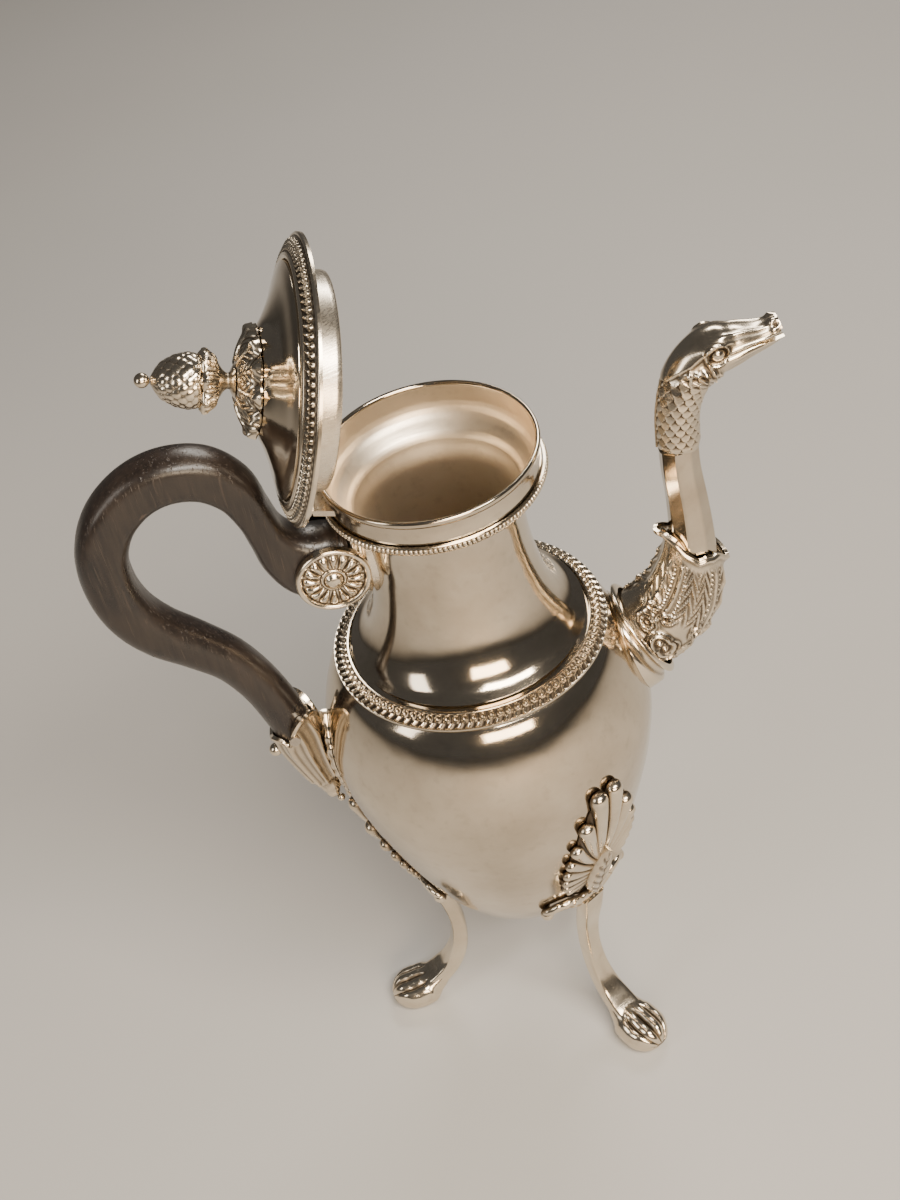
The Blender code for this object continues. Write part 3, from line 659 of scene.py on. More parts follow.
def chased_leaves(angle, at, t):
    """Scrolls near the root, acanthus ribs above, punched dots along the leaf edges."""
    wide = angle * 13.0
    long = at * 72.0
    flip = np.minimum(np.abs(angle - math.pi / 2), np.abs(angle - 3 * math.pi / 2)) * 13.0
    push = np.zeros(np.broadcast(wide, long).shape)
    for cx, cz, size in ((1.5, 17.5, 4.6), (10.0, 20.0, 3.4), (6.0, 27.0, 2.0), (12.5, 27.5, 1.8)):
        d = np.hypot(flip - cx, long - cz)
        whirl = np.cos(d / size * TURN * 1.5) * (d < size) * 0.55
        push = push + whirl * (1 - ease(size * 0.9, size, d)) + 0.8 * bell(d - size, 0.45)
    rib = np.cos(angle * 12) * within(at, 0.44, 0.86, 0.03) * 0.2
    stem = 0.6 * bell(flip - 8.5 + (long - 26) * 0.05, 0.6) * within(long, 22, 51, 2)
    stem = stem + 0.6 * bell(flip - 13.5, 0.6) * within(long, 17, 51, 2)
    pearls = np.sqrt(np.clip(np.cos(long * 3.6), 0, 1))
    dots = 0.6 * pearls * bell(flip - 5.6, 0.45) * within(long, 24, 52, 1.5)
    dots = dots + 0.6 * pearls * bell(flip - 10.6, 0.45) * within(long, 22, 50, 1.5)
    leaf = (long * 0.22 + np.abs(flip - 2.6) * 0.5) % 1.0
    vein = 0.45 * (bell(leaf - 0.5, 0.22) - 0.3) * within(long, 28, 54, 2) * (flip < 5.0)
    curl = (long * 0.15 - flip * 0.20) % 1.0
    curls = 0.5 * (bell(curl - 0.5, 0.24) - 0.35) * within(long, 24, 50, 2)
    vein = vein + curls * within(flip, 11.2, 18.0, 0.4)
    return (push + rib + stem + dots + vein) * within(t, 0.03, 0.90, 0.03)


def make_spout_head():
    """The scaled neck and the animal's head, one sweep shaped by ridges, hollows and an open mouth."""
    points = SPOUT_LINE[8:]
    table = [  # half height above the line, half height below it, half width
        (5.8, 5.8, 5.4), (5.8, 5.9, 5.5), (6.4, 6.6, 5.8), (6.9, 6.9, 6.2), (5.6, 6.2, 5.4), (3.9, 4.3, 4.1),
        (3.6, 3.3, 3.7),
    ]
    line, size = along_line(points, table, 0.22)
    line[0, 1] += 0.3
    rows = len(line)
    s = np.linspace(0.0, 1.0, rows)[:, None]
    sides = 160
    angle = around(sides)
    up, down, wide = size[:, :1], size[:, 1:2], size[:, 2:]
    a, b = squarish(angle, 1.0, 1.0, 2.0)
    lift = np.where(a > 0, up, down)
    walked = s * 49.0

    # overlapping scales, tips pointing down the neck
    scale_h = np.zeros((rows, sides))
    for shift in (0.0, 0.5):
        u = repeat(angle, 13, shift) * 2
        v = (walked / 3.9 + shift) % 1.0
        tip = 0.48 * (1 - swelling(u**2))
        scale_h = np.maximum(scale_h, (1 - 0.75 * (v - tip)) * ease(tip, tip + 0.07, v))
    from_top = np.abs((angle + math.pi) % TURN - math.pi)
    cap = 1 - ease(0.0, 0.12, from_top - 0.95 * np.sqrt(np.clip((walked - 19.5) / 6.0, 0, 1)))
    scaled = (0.85 * scale_h - 0.3) * within(walked, 0.6, 26.5 - 2.5 * a, 1.0) * (1 - cap)

    def spot(where, off, length, width):
        """A soft bump at a distance along the line and an angle down from the crest, on both sides."""
        return np.exp(-(((walked - where) / length) ** 2) - (((from_top - off) / width) ** 2))

    shape = 0.9 * spot(31.0, 0.95, 2.6, 0.30)
    shape -= 1.0 * spot(31.5, 1.28, 3.8, 0.26)
    shape += 1.6 * spot(31.6, 1.27, 1.5, 0.21)
    shape -= 0.7 * bell(np.hypot((walked - 31.6) / 1.9, (from_top - 1.27) / 0.27) - 1.0, 0.16)
    shape += 0.7 * bell(np.hypot((walked - 31.4) / 2.8, (from_top - 1.27) / 0.40) - 1.0, 0.14)
    shape += 0.8 * spot(25.5, 1.75, 3.2, 0.35)
    shape += 0.7 * spot(28.4, 2.15, 2.8, 0.30)
    for k in range(5):
        curl_at, curl_off = 23.5 + 1.5 * k, 1.15 + 0.24 * k
        shape += 0.75 * spot(curl_at, curl_off, 0.7, 0.16) - 0.45 * spot(curl_at - 1.1, curl_off, 0.5, 0.15)
    groove = bell(from_top - (1.62 - 0.004 * (walked - 34)), 0.075) * ease(31.5, 34.0, walked)
    shape -= 1.0 * groove
    shape += 0.35 * bell(from_top - 1.38, 0.10) * ease(33, 36, walked)
    shape += 0.35 * bell(from_top - 1.88, 0.10) * ease(33, 36, walked)
    shape += 0.8 * spot(47.4, 0.45, 1.2, 0.30) + 0.45 * spot(46.9, 1.1, 1.0, 0.25)
    shape -= 0.7 * spot(47.8, 0.75, 0.6, 0.16)
    shape -= 0.5 * spot(40.5, 0.0, 4.0, 0.5)
    shape += 0.45 * bell(from_top - 0.62, 0.13) * within(walked, 33, 45, 2)
    shape += 0.35 * bell(from_top - 2.55, 0.14) * within(walked, 32, 47, 2)
    shape += 0.25 * np.cos(walked * 3.3) * within(from_top, 1.35, 2.6, 0.2) * within(walked, 21.5, 29, 1)
    crest = 0.75 * cap * (1 - ease(33.0, 37.0, walked))
    bulk = scaled + shape + crest
    out_a = a * (lift + bulk)
    out_b = b * (wide + bulk)
    bore = np.interp(walked[:, 0], [0, 12, 22, 30, 38, 49], [4.4, 4.2, 3.8, 3.2, 2.6, 2.6])
    bore = np.minimum(bore, (wide[:, 0] - 0.9))
    head = chased("spout_animal_head", pipe(line, out_a, out_b, bore), ("spout_head",), SWEPT_RELIEF)
    jaw = [(89.0, 240.6), (104.0, 244.6), (104.0, 240.0)]
    carve(head, slab(jaw, 9.0))


# ---------------------------------------------------------------- lid

HINGE = (-35.55, 0.0, 229.4)
LID_Z = RIM_Z + 0.6
LID_PLACE = (
    Matrix.Translation(HINGE)
    @ Matrix.Rotation(math.radians(-72.0), 4, "Y")
    @ Matrix.Translation((-HINGE[0], 0.0, LID_Z - HINGE[2]))
)


def make_lid():
    def lid_piece(name, shape, look, nodes, crease=CREASE):
        return piece(name, shape.move(LID_PLACE), look, "lid", nodes, crease)

    def milled_edge(angle, r, z):
        t = (37.0 - r) / 4.4
        return 0.7 * milled(-angle, t, 96) * ease(1.2, 1.5, z) * within(t, 0.0, 1.0, 0.03)

    border = [(38.0, 0.0), (38.0, 0.9), (37.6, 1.3), (37.0, 1.25), (36.7, 1.55), (32.9, 3.45), (32.7, 3.95),
              (32.0, 4.25), (31.2, 3.95), (31.0, 3.4), (31.0, 2.4), (30.2, 1.8), (30.2, 0.0)]
    lid_piece("lid_milled_border", revolve(refine(border, 0.22), 96 * 14, milled_edge), CHASED,
              ("lid_border",), SHARP_RELIEF)

    outer = spline([(1.7, 14.3), (5.0, 14.2), (9.5, 13.2), (12.2, 12.0), (14.5, 10.7), (17.0, 9.3),
                    (20.8, 7.7), (24.2, 6.5), (28.0, 5.5), (30.7, 4.6)], 0.6)
    inner = offset(outer, -WALL)
    inner[-1] = (30.7, 3.3)
    lid_piece("lid_polished_dome", revolve(np.vstack([outer, inner[::-1]]), 144), POLISHED, ("lid_dome",))

    bezel = [(28.6, 0.3), (28.6, -5.2), (28.3, -6.3), (27.7, -6.6), (27.1, -6.6), (27.4, 0.0), (27.4, 2.9),
             (29.9, 2.9), (29.9, 0.4)]
    lid_piece("lid_inner_collar", revolve(refine(fillet(bezel, 0.3), 0.9), 144), SATIN, ("lid_bezel",))

    # acanthus leaves round the root of the finial
    def leaves(angle, r, z):
        u = repeat(angle, 12)
        up = ease(0.0, 0.5, z - (14.75 - 0.0105 * r**2.2))
        rim = ease(10.0, 14.0, r)
        lobe = -0.9 * (np.abs(u) * 2) ** 2.6 * rim
        mid = 0.5 * bell(u, 0.06) * ease(4.5, 6.5, r)
        vein = 0.13 * np.cos((np.abs(u) * 9 - r * 1.5) * 2.2) * ease(6, 9, r) * (1 - bell(u, 0.10))
        tip = 1.1 * bell(u, 0.24) * bell(r - 13.5, 1.0)
        return (lobe + mid + vein + tip) * up + lobe * 0.6 * (1 - up)

    calyx = spline([(3.6, 16.6), (6.0, 16.3), (8.6, 15.6), (11.4, 14.3), (13.4, 12.8), (14.4, 11.7)], 0.25)
    under = spline([(14.2, 11.1), (12.4, 12.1), (9.6, 13.4), (5.0, 14.4), (1.7, 14.5)], 0.4)
    loop = np.vstack([[(1.7, 16.6)], calyx, under])
    lid_piece("lid_leaf_calyx", revolve(loop, 12 * 22, leaves), CHASED,
              ("lid_calyx",), SHARP_RELIEF)

    # the finial: a waisted stem, a cup of leaves, a pine cone and a ball
    def cup_leaves(angle, r, z):
        u = repeat(angle, 9)
        leaf = 0.6 * (1 - (np.abs(u) * 2) ** 2) * within(z, 21.2, 25.4, 0.5) * ease(4.0, 6.5, r)
        knob = 0.9 * bell(u, 0.16) * bell(z - 24.6, 0.8) * ease(5.5, 7.0, r)
        rib = 0.25 * np.cos(angle * 36) * within(z, 21.0, 24.5, 0.5) * ease(4.0, 6.5, r)
        return leaf + knob + rib

    stem = spline([(4.4, 16.8), (3.6, 17.3), (2.3, 17.9), (2.1, 18.6), (2.9, 19.6), (4.7, 20.8), (6.3, 22.4),
                   (7.1, 24.0), (6.9, 25.2)], 0.2)
    rest = [(6.2, 25.35), (1.3, 25.35), (1.3, 28.0), (0.2, 28.0), (0.2, 7.0), (1.3, 7.0), (1.3, 16.7)]
    cup = np.vstack([stem, refine(rest, 0.8, False)])
    lid_piece("finial_leaf_cup", revolve(cup, 144, cup_leaves), CHASED,
              ("finial_stem",), SHARP_RELIEF)

    def cone_scales(angle, r, z):
        push = np.zeros(np.broadcast(angle, z).shape)
        for shift in (0.0, 0.5):
            u = repeat(angle, 12, shift) * 1.62
            w = (((z - 25.2) / 3.3 + shift) % 1.0 * 2 - 1) * 1.0
            push = np.maximum(push, np.sqrt(np.clip(1 - u**2 - w**2, 0, 1)))
        return 0.85 * push * ease(1.6, 4.6, r) * ease(25.4, 26.2, z)

    cone = spline([(5.9, 25.7), (6.5, 27.2), (6.5, 29.4), (5.7, 32.2), (4.0, 35.2), (2.3, 37.2),
                   (1.1, 38.0)], 0.22)
    core = [(0.3, 38.0), (0.3, 28.4), (1.7, 28.4), (1.7, 25.7)]
    cone = np.vstack([cone, refine(core, 0.8, False)])
    lid_piece("finial_pine_cone", revolve(cone, 168, cone_scales), CHASED,
              ("finial_cone",), SWEPT_RELIEF)

    turn = np.linspace(-1.25, 1.50, 26)
    ball = np.stack([2.0 * np.cos(turn), 40.2 + 2.0 * np.sin(turn)], axis=1)
    ball = np.vstack([[(0.2, 38.2)], [(1.0, 38.2)], ball])
    lid_piece("finial_ball_tip", revolve(ball, 48, closed=False), CHASED, ("finial_ball",))


# ---------------------------------------------------------------- handle

HANDLE_LINE = [
    (-27.5, 203.2), (-32.5, 203.4), (-39.5, 206.6), (-44.8, 212.0), (-48.0, 219.0), (-50.0, 227.5),
    (-53.2, 237.0), (-60.0, 244.0), (-69.5, 246.2), (-79.0, 243.6), (-87.5, 236.4), (-92.6, 226.0),
    (-93.4, 214.5), (-91.0, 203.8), (-85.5, 194.6), (-77.5, 186.4), (-69.5, 177.2), (-63.8, 165.6),
    (-60.2, 153.5), (-57.6, 142.6),
]
HALF_THICK = [11.0, 11.6, 10.9, 8.0, 5.5, 5.2, 6.3, 7.1, 7.2, 7.1,
              7.1, 7.1, 7.1, 7.2, 7.2, 6.9, 6.4, 6.2, 6.2, 6.2]
HALF_WIDE = [7.4, 7.5, 7.4, 6.8, 6.4, 6.3, 6.4, 6.5, 6.5, 6.5,
             6.6, 6.8, 6.9, 6.9, 6.8, 6.5, 6.3, 6.1, 6.1, 6.1]


def make_handle():
    line, size = along_line(HANDLE_LINE, np.stack([HALF_THICK, HALF_WIDE], axis=1), 0.9)
    s = np.linspace(0, 1, len(line))[:, None]
    angle = around(96)
    crisp_a, crisp_b = squarish(angle, size[:, :1] * 1.03, size[:, 1:], 5.0)
    crisp_a = crisp_a * (1 - 0.24 * (crisp_b / size[:, 1:]) ** 2)
    soft_a, soft_b = squarish(angle, size[:, :1], size[:, 1:], 2.3)
    round_off = ease(0.50, 0.82, s)
    a = crisp_a * (1 - round_off) + soft_a * round_off
    b = crisp_b * (1 - round_off) + soft_b * round_off
    ends = np.concatenate([[0.90], np.ones(len(line) - 2), [0.93]])[:, None]
    shape = Shape().grid(sweep_points(line, a * ends, b * ends), caps=True)
    wood = piece("wooden_handle", shape, WOOD, "pot", ("handle_wood",), 50.0)
    carve(wood, slab([(-40.6, 196.4), (-20, 196.4), (-20, 211.6), (-40.6, 211.6)], 1.3))

    def petals(angle, r, z):
        u = repeat(angle, 16)
        along = np.clip((r - 3.9) / 4.7, 0, 1)
        wide = 0.46 * np.sqrt(np.clip(1 - (2 * along - 1) ** 4, 1e-4, 1)) * (0.55 + 0.45 * along)
        bud = swelling((u / wide) ** 2) * np.sin(math.pi * along) ** 0.5
        return 1.35 * bud * (z > 0.6)

    face = [(10.6, 0.0), (10.6, 1.7), (10.2, 2.2), (9.6, 2.3), (9.1, 1.9), (8.8, 1.2), (3.7, 1.2), (3.4, 1.7),
            (3.0, 1.8), (2.8, 1.3), (2.4, 2.1), (1.6, 2.9), (0.7, 3.15), (0.15, 3.2)]
    face = np.vstack([[(0.15, 0.0)], refine(face, 0.25, False)])
    for side, name in ((-1, "right"), (1, "left")):
        place = Matrix.Translation((-33.8, side * 7.9, 204.0)) @ Matrix.Rotation(-side * math.pi / 2, 4, "X")
        rosette = revolve(face, 16 * 20, petals, closed=False).move(place)
        chased("rosette_" + name, rosette, ("handle_rosette_" + name,))

    # the saddle: three stacked mouldings between the wood and the neck, with the tongue inside the wood
    steps = [(-27.1, 8.6), (-26.9, 10.6), (-26.3, 11.0), (-25.8, 10.2), (-25.4, 10.2), (-25.1, 11.4),
             (-24.3, 11.6), (-23.9, 10.7), (-23.6, 10.8), (-23.2, 12.0), (-21.0, 12.2), (-19.0, 12.2)]
    steps = np.array(steps)
    line = np.stack([steps[:, 0], np.full(len(steps), 203.0)], axis=1)
    line, size = along_line(line, steps[:, 1:], 0.12)
    angle = around(96)
    a, b = squarish(angle, size, np.minimum(size * 0.72, 8.4), 2.6)
    shape = Shape().grid(sweep_points(line, a, b), caps=True)
    tongue = slab([(-39.8, 197.2), (-24, 197.2), (-24, 210.8), (-39.8, 210.8)], 1.0)
    saddle = piece("handle_saddle", shape, SATIN, "pot", ("handle_bracket",))
    carve(saddle, tongue, "UNION")
    neck_space = np.vstack([[(0.4, 217.3)], offset(NECK_OUT, 0.05)])
    carve(saddle, revolve(np.vstack([neck_space, [(0.4, 168.0)]]), 128, closed=False))

    make_socket()


def make_socket():
    """A cup of leaves round the foot of the handle, drawn down to a ball, with a curled knob behind."""
    line, size = along_line([(-60.1, 151.4), (-59.1, 148.2), (-58.2, 145.0), (-57.7, 142.0), (-57.4, 138.0),
                             (-56.6, 132.0), (-55.4, 125.0), (-54.0, 118.5), (-53.2, 114.4)],
                            [8.4, 7.7, 7.3, 7.2, 6.9, 6.0, 4.9, 3.8, 2.9], 0.3)
    line, size = line[::-1], size[::-1, 0]
    rows = 130
    t = np.linspace(0, 1, rows)[:, None]
    angle = around(120)
    end = 0.80 + 0.20 * np.abs(np.cos(angle * 1.5 + 0.2)) ** 0.8
    end = end - 0.15 * bell(np.minimum(angle, TURN - angle), 0.65)
    at = t * end
    ribs = (1.0 * bell(repeat(angle, 9), 0.17) - 0.3) * within(t, 0.18, 0.92, 0.08)
    waist = -0.5 * bell(t - 0.12, 0.04) + 0.35 * bell(t - 0.19, 0.03) + 0.5 * bell(t - 0.97, 0.02)
    flare = 0.5 * ease(0.85, 1.0, t)
    radius = picked(size, at) + ribs + waist + flare
    solid_rows = int(rows * 0.30)
    inner = np.minimum(radius - 0.9, 6.75 + 0.15 * t)
    lining = round_section(line, inner, at)[solid_rows:]
    shape = Shape().grid(np.vstack([round_section(line, radius, at), lining[::-1]]), caps=True)
    shape.ball((-53.4, 0, 112.6), (2.2, 2.2, 2.2))
    shape.ball((-65.9, 0, 136.6), (2.1, 2.1, 2.1))
    shape.ball((-51.6, 0, 108.6), (1.3, 1.3, 1.3))
    horn, width = along_line([(-65.6, 137.2), (-63.6, 138.4), (-61.6, 136.4), (-59.8, 131.0), (-58.0, 125.0)],
                             [1.1, 1.3, 1.4, 1.2, 0.8], 0.4)
    a, b = squarish(around(16), width, width * 1.5, 2.0)
    shape.grid(sweep_points(horn, a, b), caps=True)
    chased("handle_leaf_socket", shape, ("handle_socket",), SWEPT_RELIEF)


# ---------------------------------------------------------------- ornaments on the bowl, and the feet

def leaf_plate():
    """The long leaf behind the socket, a raised rib down its middle."""
    t = np.linspace(0, 1, 90)[:, None]
    u = np.linspace(-1, 1, 41)[None]
    z = 113.0 + 34.0 * t
    scallop = 1 - 0.06 * (0.5 + 0.5 * np.cos(t * 60))
    half = 7.4 * np.sin(math.pi * np.minimum(1.0, 0.22 + 0.78 * t) ** 1.3) * scallop
    half = np.maximum(half, 0.5)
    height = 1.0 + 0.5 * (1 - u**2) + 0.5 * bell(u, 0.10) + 0.22 * np.cos((np.abs(u) * 2.2 - t * 9) * 5)
    height = height * (1 - 0.75 * ease(0.86, 1.0, np.abs(u))) + 0.25
    top = on_bowl(180.0, u * half, z + 0 * u, height)
    low = on_bowl(180.0, u * half, z + 0 * u, 0.2 + 0 * u * t)
    chased("body_leaf_plate", closed_patch(top, low), ("handle_leaf",), SWEPT_RELIEF)


def closed_patch(top, low):
    """A plate from two open grids of the same size."""
    rows, cols = top.shape[:2]
    shape = Shape()
    shape.grid(top, wrap_cols=False)
    shape.grid(low, wrap_cols=False)
    edge = [(0, j) for j in range(cols)] + [(i, cols - 1) for i in range(1, rows)]
    edge += [(rows - 1, j) for j in range(cols - 2, -1, -1)] + [(i, 0) for i in range(rows - 2, 0, -1)]
    for (i, j), (k, m) in zip(edge, edge[1:] + edge[:1]):
        p, q = i * cols + j, k * cols + m
        shape.faces.append([p, q, q + rows * cols, p + rows * cols])
        shape.looks.append(0)
    return shape


def lay_on_bowl(shape, azimuth, side, rail, size, rise, sides):
    """A rounded rib along a rail of (across, height) points, on one side of the azimuth."""
    ring = around(sides)
    away = frames(rail)
    across = side * (rail[:, :1] + away[:, :1] * size * np.cos(ring))
    height_z = rail[:, 1:] + away[:, 1:] * size * np.cos(ring)
    shape.grid(on_bowl(azimuth, across, height_z, rise(np.sin(ring))), caps=True)


LOBES = (  # root, bend and tip of each lobe as (across, height), and its half width
    ((0.9, 95.0), (2.4, 112.0), (3.1, 130.6), 2.9),
    ((1.3, 93.0), (5.2, 105.0), (8.3, 119.4), 2.7),
    ((1.7, 91.0), (7.0, 99.5), (11.6, 109.4), 2.25),
    ((2.1, 89.0), (7.8, 94.8), (13.2, 101.6), 1.95),
    ((2.5, 87.0), (8.2, 90.8), (13.9, 95.2), 1.75),
    ((2.7, 85.0), (8.2, 87.3), (13.9, 89.6), 1.55),
    ((2.9, 82.8), (7.8, 84.0), (13.2, 84.8), 1.4),
    ((3.1, 80.6), (7.2, 80.9), (11.6, 80.6), 1.25),
)
FULL_FAN = 67.0  # the height of the fan that LOBES describes


def palmette(name, azimuth, top_z):
    """A fan of ribbed lobes rising from a middle leaf, over two scrolled arms."""
    lobes = 8
    columns_per_lobe = 12
    centre_z = 84.0
    foot_z = 64.0
    up = top_z - centre_z
    down = 15.0
    wide = 14.2
    span = 2.55
    psi = np.linspace(-span, span, 2 * lobes * columns_per_lobe + 1)[None]
    rho = np.linspace(0.03, 1.0, 48)[:, None]
    # each lobe fills an equal step; lobes near the top are longer
    k = np.abs(psi) / span * lobes
    cell = (k % 1.0) * 2 - 1
    crown = swelling(cell**2)
    reach = 0.93 - 0.10 * (1 - crown)
    height_scale = np.where(np.cos(psi) > 0, up, down)
    x = wide * np.sin(np.clip(psi, -math.pi / 2, math.pi / 2))
    tuck = 1 - 0.55 * ease(0, 1.0, np.abs(psi) - 1.57)
    x = np.where(np.abs(psi) > math.pi / 2, wide * np.sign(psi) * tuck, x)
    across = x * rho * reach
    z = centre_z + height_scale * np.cos(psi) * rho * reach
    height = 0.75 + 0.25 * crown + 0 * rho
    top = on_bowl(azimuth, across, z, height * (1 - 0.5 * ease(0.93, 1.0, rho)))
    low = on_bowl(azimuth, across, z, 0.15 + 0 * height)
    shape = closed_patch(top, low)

    # the ribbed lobes, longest at the top, each a rounded bean lying on the plate
    stretch = (top_z - foot_z) / FULL_FAN
    for root, bend, tip, half in LOBES:
        path = [(x, foot_z + (h - foot_z) * stretch) for x, h in (root, bend, tip)]
        rail = spline(path, 0.35)
        t = np.linspace(0, 1, len(rail))
        length = np.linalg.norm(np.diff(rail, axis=0), axis=1).sum()
        body = half * (0.30 + 0.70 * t**0.8)
        cap = 1 - half / length
        body = body * np.sqrt(np.clip(1 - np.clip((t - cap) / (1 - cap), 0, 0.995) ** 2, 0, 1))
        body = (body * np.sqrt(np.clip(t / 0.08, 0.02, 1)))[:, None]
        base = 1.0 + 0.3 * t[:, None]
        for side in (-1, 1):
            lay_on_bowl(shape, azimuth, side, rail, body, lambda up: np.maximum(base + body * up, 0.3), 24)

    # the middle leaf
    t = np.linspace(0, 1, 40)[:, None]
    u = np.linspace(-1, 1, 21)[None]
    half = np.maximum(4.4 * np.sin(math.pi * t**0.75) ** 0.8, 0.25)
    leaf_z = 70.5 + 30.0 * t + 0 * u
    rise = 2.9 + 1.0 * (1 - u**2) - 0.35 * bell(u, 0.12) + 0.2 * np.cos((np.abs(u) * 2 - t * 10) * 4)
    rise = rise + 0.5 * ease(0.75, 1.0, t) - 0.9 * ease(0.8, 1.0, np.abs(u))
    add_patch(shape, on_bowl(azimuth, u * half, leaf_z, rise),
              on_bowl(azimuth, u * half, leaf_z, 0.8 + 0 * rise))

    # the scrolled arms and the pointed moulding that closes the foot's root
    for side in (-1, 1):
        arm = spline([(0.0, 67.4), (4.5, 68.6), (9.0, 70.8), (13.0, 71.0), (15.6, 69.8), (16.0, 68.4)], 0.35)
        thick = np.interp(np.linspace(0, 1, len(arm)), [0, 0.5, 0.85, 1], [1.5, 1.6, 1.5, 1.3])[:, None]
        bumpy = thick * (1 + 0.16 * np.cos(np.linspace(0, 34, len(arm)))[:, None])
        lay_on_bowl(shape, azimuth, side, arm, bumpy, lambda up: 1.7 + thick * 0.9 * up, 20)
        knob = on_bowl(azimuth, np.array([side * 15.6]), np.array([68.6]), np.array([1.8]))[0]
        shape.ball(knob, (2.1, 2.1, 2.1))
        for drop, size in ((0.0, 1.1), (2.6, 1.0)):
            rail = spline([(7.6, 71.0 - drop), (4.4, 67.6 - drop), (0.0, 64.6 - drop * 0.6)], 0.35)
            lay_on_bowl(shape, azimuth, side, rail, size, lambda up: 2.0 + size * 1.2 * up, 20)
    chased("palmette_fan_" + name, shape, ("palmette_" + name,), SWEPT_RELIEF)


def add_patch(shape, top, low):
    """A closed patch as one more part of a shape."""
    extra = closed_patch(top, low)
    base = shape.count
    shape.verts += extra.verts
    shape.faces += [[v + base for v in face] for face in extra.faces]
    shape.looks += extra.looks
    shape.count += extra.count


LEG_LINE = [(33.2, 66.0), (31.0, 57.0), (28.2, 46.0), (27.2, 34.5), (28.6, 23.5), (32.4, 15.4),
            (37.2, 10.6), (41.5, 8.0)]
LEG_THICK = [2.3, 2.6, 2.6, 2.6, 2.8, 3.0, 3.1, 2.6]
LEG_WIDE = [4.5, 4.2, 3.4, 3.1, 3.3, 3.9, 4.6, 4.8]
PAW_LINE = [(36.0, 10.6), (40.0, 7.6), (44.0, 5.4), (48.5, 4.5), (52.5, 4.1), (56.2, 3.9)]
PAW_THICK = [2.6, 4.1, 5.1, 5.2, 4.8, 4.3]
PAW_WIDE = [4.3, 5.9, 7.3, 7.9, 7.7, 7.2]


def make_foot(name, azimuth):
    """A flat-fronted leg running into a four-toed paw."""
    line, size = along_line(LEG_LINE, np.stack([LEG_THICK, LEG_WIDE], axis=1), 0.6)
    angle = around(48)
    a, b = squarish(angle, size[:, :1], size[:, 1:], 5.5)
    a = np.where(a < 0, a * (1 - 0.15 * (b / size[:, 1:]) ** 2), a)
    shape = Shape().grid(sweep_points(line, a, b), caps=True)

    line, size = along_line(PAW_LINE, np.stack([PAW_THICK, PAW_WIDE], axis=1), 0.2)
    t = np.linspace(0, 1, len(line))[:, None]
    angle = around(144)
    a, b = squarish(angle, 1.0, 1.0, 2.5)
    toe = np.clip((b + 1) * 2, 0, 3.999) % 1.0 * 2 - 1
    plump = swelling(0.96 * toe**2)
    spread = ease(0.22, 0.5, t)
    front = np.clip((t - 0.80) / 0.20 + 0.10 * (1 - plump) * (t > 0.8), 0, 0.998)
    close = np.sqrt(1 - front**2)
    swell = 1 + spread * (0.42 * plump - 0.36) * ease(-0.5, 0.1, a) - 0.05 * bell(t - 0.66, 0.07) * (a > 0)
    a = a * size[:, :1] * close * swell
    b = b * size[:, 1:] * (0.35 + 0.65 * close) * (1 + 0.03 * spread * plump)
    points = sweep_points(line, a, b)
    points[..., 0] -= 2.9 * spread * (b / 7.8) ** 2
    points[..., 2] = np.maximum(points[..., 2], 0.0)
    shape.grid(points, caps=True)
    shape.move(Matrix.Rotation(math.radians(azimuth), 4, "Z"))
    chased("paw_foot_" + name, shape, ("foot_" + name,))


def mark_hollows(obj, reach, on_skin):
    """Every vertex learns how far it lies below its surroundings: 0 on high places, 1 in the grooves; the
    silver paints shade and tarnish in the grooves by it.
    """
    mesh = obj.data
    total = len(mesh.vertices)
    places = np.zeros(total * 3)
    mesh.vertices.foreach_get("co", places)
    places = places.reshape(-1, 3) / MM
    normals = np.zeros(total * 3)
    mesh.vertices.foreach_get("normal", normals)
    ends = np.zeros(len(mesh.edges) * 2, np.int32)
    mesh.edges.foreach_get("vertices", ends)
    first, second = ends.reshape(-1, 2).T
    spacing = np.linalg.norm(places[first] - places[second], axis=1).mean()
    friends = np.maximum(np.bincount(ends, minlength=total), 1)[:, None]
    soft = places.copy()
    for _ in range(int(np.clip((reach / spacing) ** 2, 3, 60))):
        near = np.stack([np.bincount(first, soft[second, k], total)
                         + np.bincount(second, soft[first, k], total) for k in range(3)], axis=1)
        soft = 0.5 * soft + 0.5 * near / friends
    depth = ((soft - places) * normals.reshape(-1, 3)).sum(axis=1)
    hollow = np.clip((depth + 0.02 * reach) / (0.11 * reach), 0.0, 1.0).astype(np.float32)
    # painted shade: on the palmettes every vertex less than about 2.5 mm above the bowl's skin is also
    # darkened, under and between the ribs
    if on_skin:
        above = np.hypot(places[:, 0], places[:, 1]) - bowl_radius(places[:, 2])
        hollow = np.maximum(hollow, 1 - ease(0.9, 2.5, above)).astype(np.float32)
    mesh.attributes.new("hollow", "FLOAT", "POINT").data.foreach_set("value", hollow)


def finish_cad_nodes():
    """The small turned and folded parts keep their CAD shape and get a worked surface."""
    for node, look in (("lid_hinge_leaf", SATIN), ("body_hinge_leaf", SATIN), ("hinge_pin", STEEL),
                       ("handle_top_pin", STEEL), ("handle_low_pin", STEEL), ("finial_nut", STEEL)):
        for entry in frame["nodes"][node].material_slots:
            entry.material = look


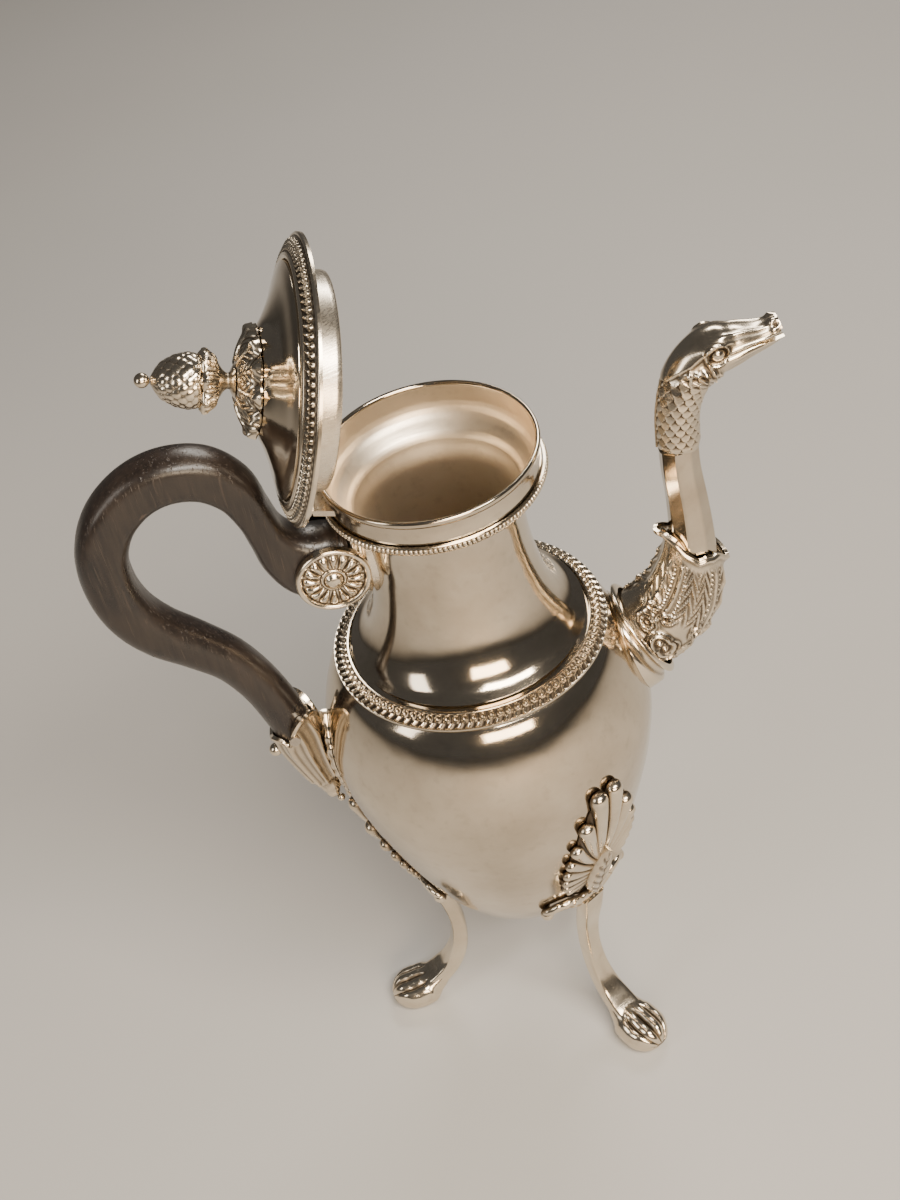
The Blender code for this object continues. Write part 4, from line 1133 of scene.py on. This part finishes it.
def make_stage():
    """The pale floor, the even background and four soft lamps."""
    bpy.ops.mesh.primitive_plane_add(size=8.0, location=(0, 0, -0.0002))
    floor = bpy.context.object
    floor.name = "floor"
    n = Nodes("pale_floor")
    cloud = n.noise(n.coords(), 3.0, 3.0)
    n.link(n.mix(cloud, (0.47, 0.46, 0.445), (0.52, 0.51, 0.495)), n.shader.inputs["Base Color"])
    n.link(n.spread(cloud, 0.0, 1.0, 0.7, 0.85), n.shader.inputs["Roughness"])
    floor.data.materials.append(n.mat)

    world = bpy.data.worlds.new("studio")
    bpy.context.scene.world = world
    world.use_nodes = True
    back = world.node_tree.nodes["Background"]
    back.inputs["Color"].default_value = (0.46, 0.45, 0.44, 1.0)
    back.inputs["Strength"].default_value = 0.20

    def softbox(name, spot, size, watts, colour):
        light = bpy.data.lights.new(name, "AREA")
        light.shape = "RECTANGLE"
        light.size, light.size_y = size
        light.energy = watts
        light.color = colour
        obj = bpy.data.objects.new(name, light)
        bpy.context.scene.collection.objects.link(obj)
        obj.location = spot
        aim = Vector((0.0, 0.0, 0.14)) - Vector(spot)
        obj.rotation_euler = aim.to_track_quat("-Z", "Y").to_euler()

    softbox("key", (0.30, -0.62, 1.00), (0.75, 0.30), 19.0, (1.0, 0.91, 0.79))
    softbox("lamp", (0.12, -0.95, 0.50), (0.62, 0.30), 9.0, (1.0, 0.78, 0.54))
    softbox("fill", (-0.80, -0.35, 0.60), (0.25, 0.5), 2.2, (1.0, 0.93, 0.84))
    softbox("back", (0.35, 0.75, 0.85), (0.5, 0.25), 5.0, (1.0, 0.93, 0.84))


def make_camera():
    """The photograph's camera: 37 degrees above the horizon and rolled 13 degrees."""
    tilt, roll = math.radians(37.35), math.radians(-13.46)
    aim = Euler((math.radians(-4.68), math.radians(-0.72), roll), "XYZ").to_matrix()
    level = Matrix(((1, 0, 0), (0, math.sin(tilt), -math.cos(tilt)), (0, math.cos(tilt), math.sin(tilt))))
    turn = Matrix.Rotation(math.radians(-2.4), 3, "Z")
    data = bpy.data.cameras.new("camera")
    data.sensor_width = 36.0
    data.lens = 55.5
    data.clip_start = 0.01
    camera = bpy.data.objects.new("camera", data)
    bpy.context.scene.collection.objects.link(camera)
    spot = turn @ Vector((0.0, -0.39874, 0.53681))
    camera.matrix_world = Matrix.Translation(spot) @ (turn @ level @ aim).to_4x4()
    bpy.context.scene.camera = camera


# the name and azimuth of each foot, and the height of its palmette's tip
FEET = (("rear", 180.0, 110.5), ("left", 60.0, 131.0), ("right", -60.0, 131.0))
# how far round each point the relief is compared with its own average, in mm
PAW_HOLLOW, FINE_HOLLOW = 1.6, 0.8

make_vessel()
make_spout()
make_lid()
make_handle()
leaf_plate()
for foot_name, foot_azimuth, foot_top in FEET:
    palmette(foot_name, foot_azimuth, foot_top)
    make_foot(foot_name, foot_azimuth)
finish_cad_nodes()
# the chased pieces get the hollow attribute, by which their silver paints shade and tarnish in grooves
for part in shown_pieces():
    if "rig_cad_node" not in part and CHASED.name in part.data.materials:
        hollow_reach = PAW_HOLLOW if part.name.startswith("paw") else FINE_HOLLOW
        mark_hollows(part, hollow_reach, part.name.startswith("palmette"))
make_stage()
make_camera()
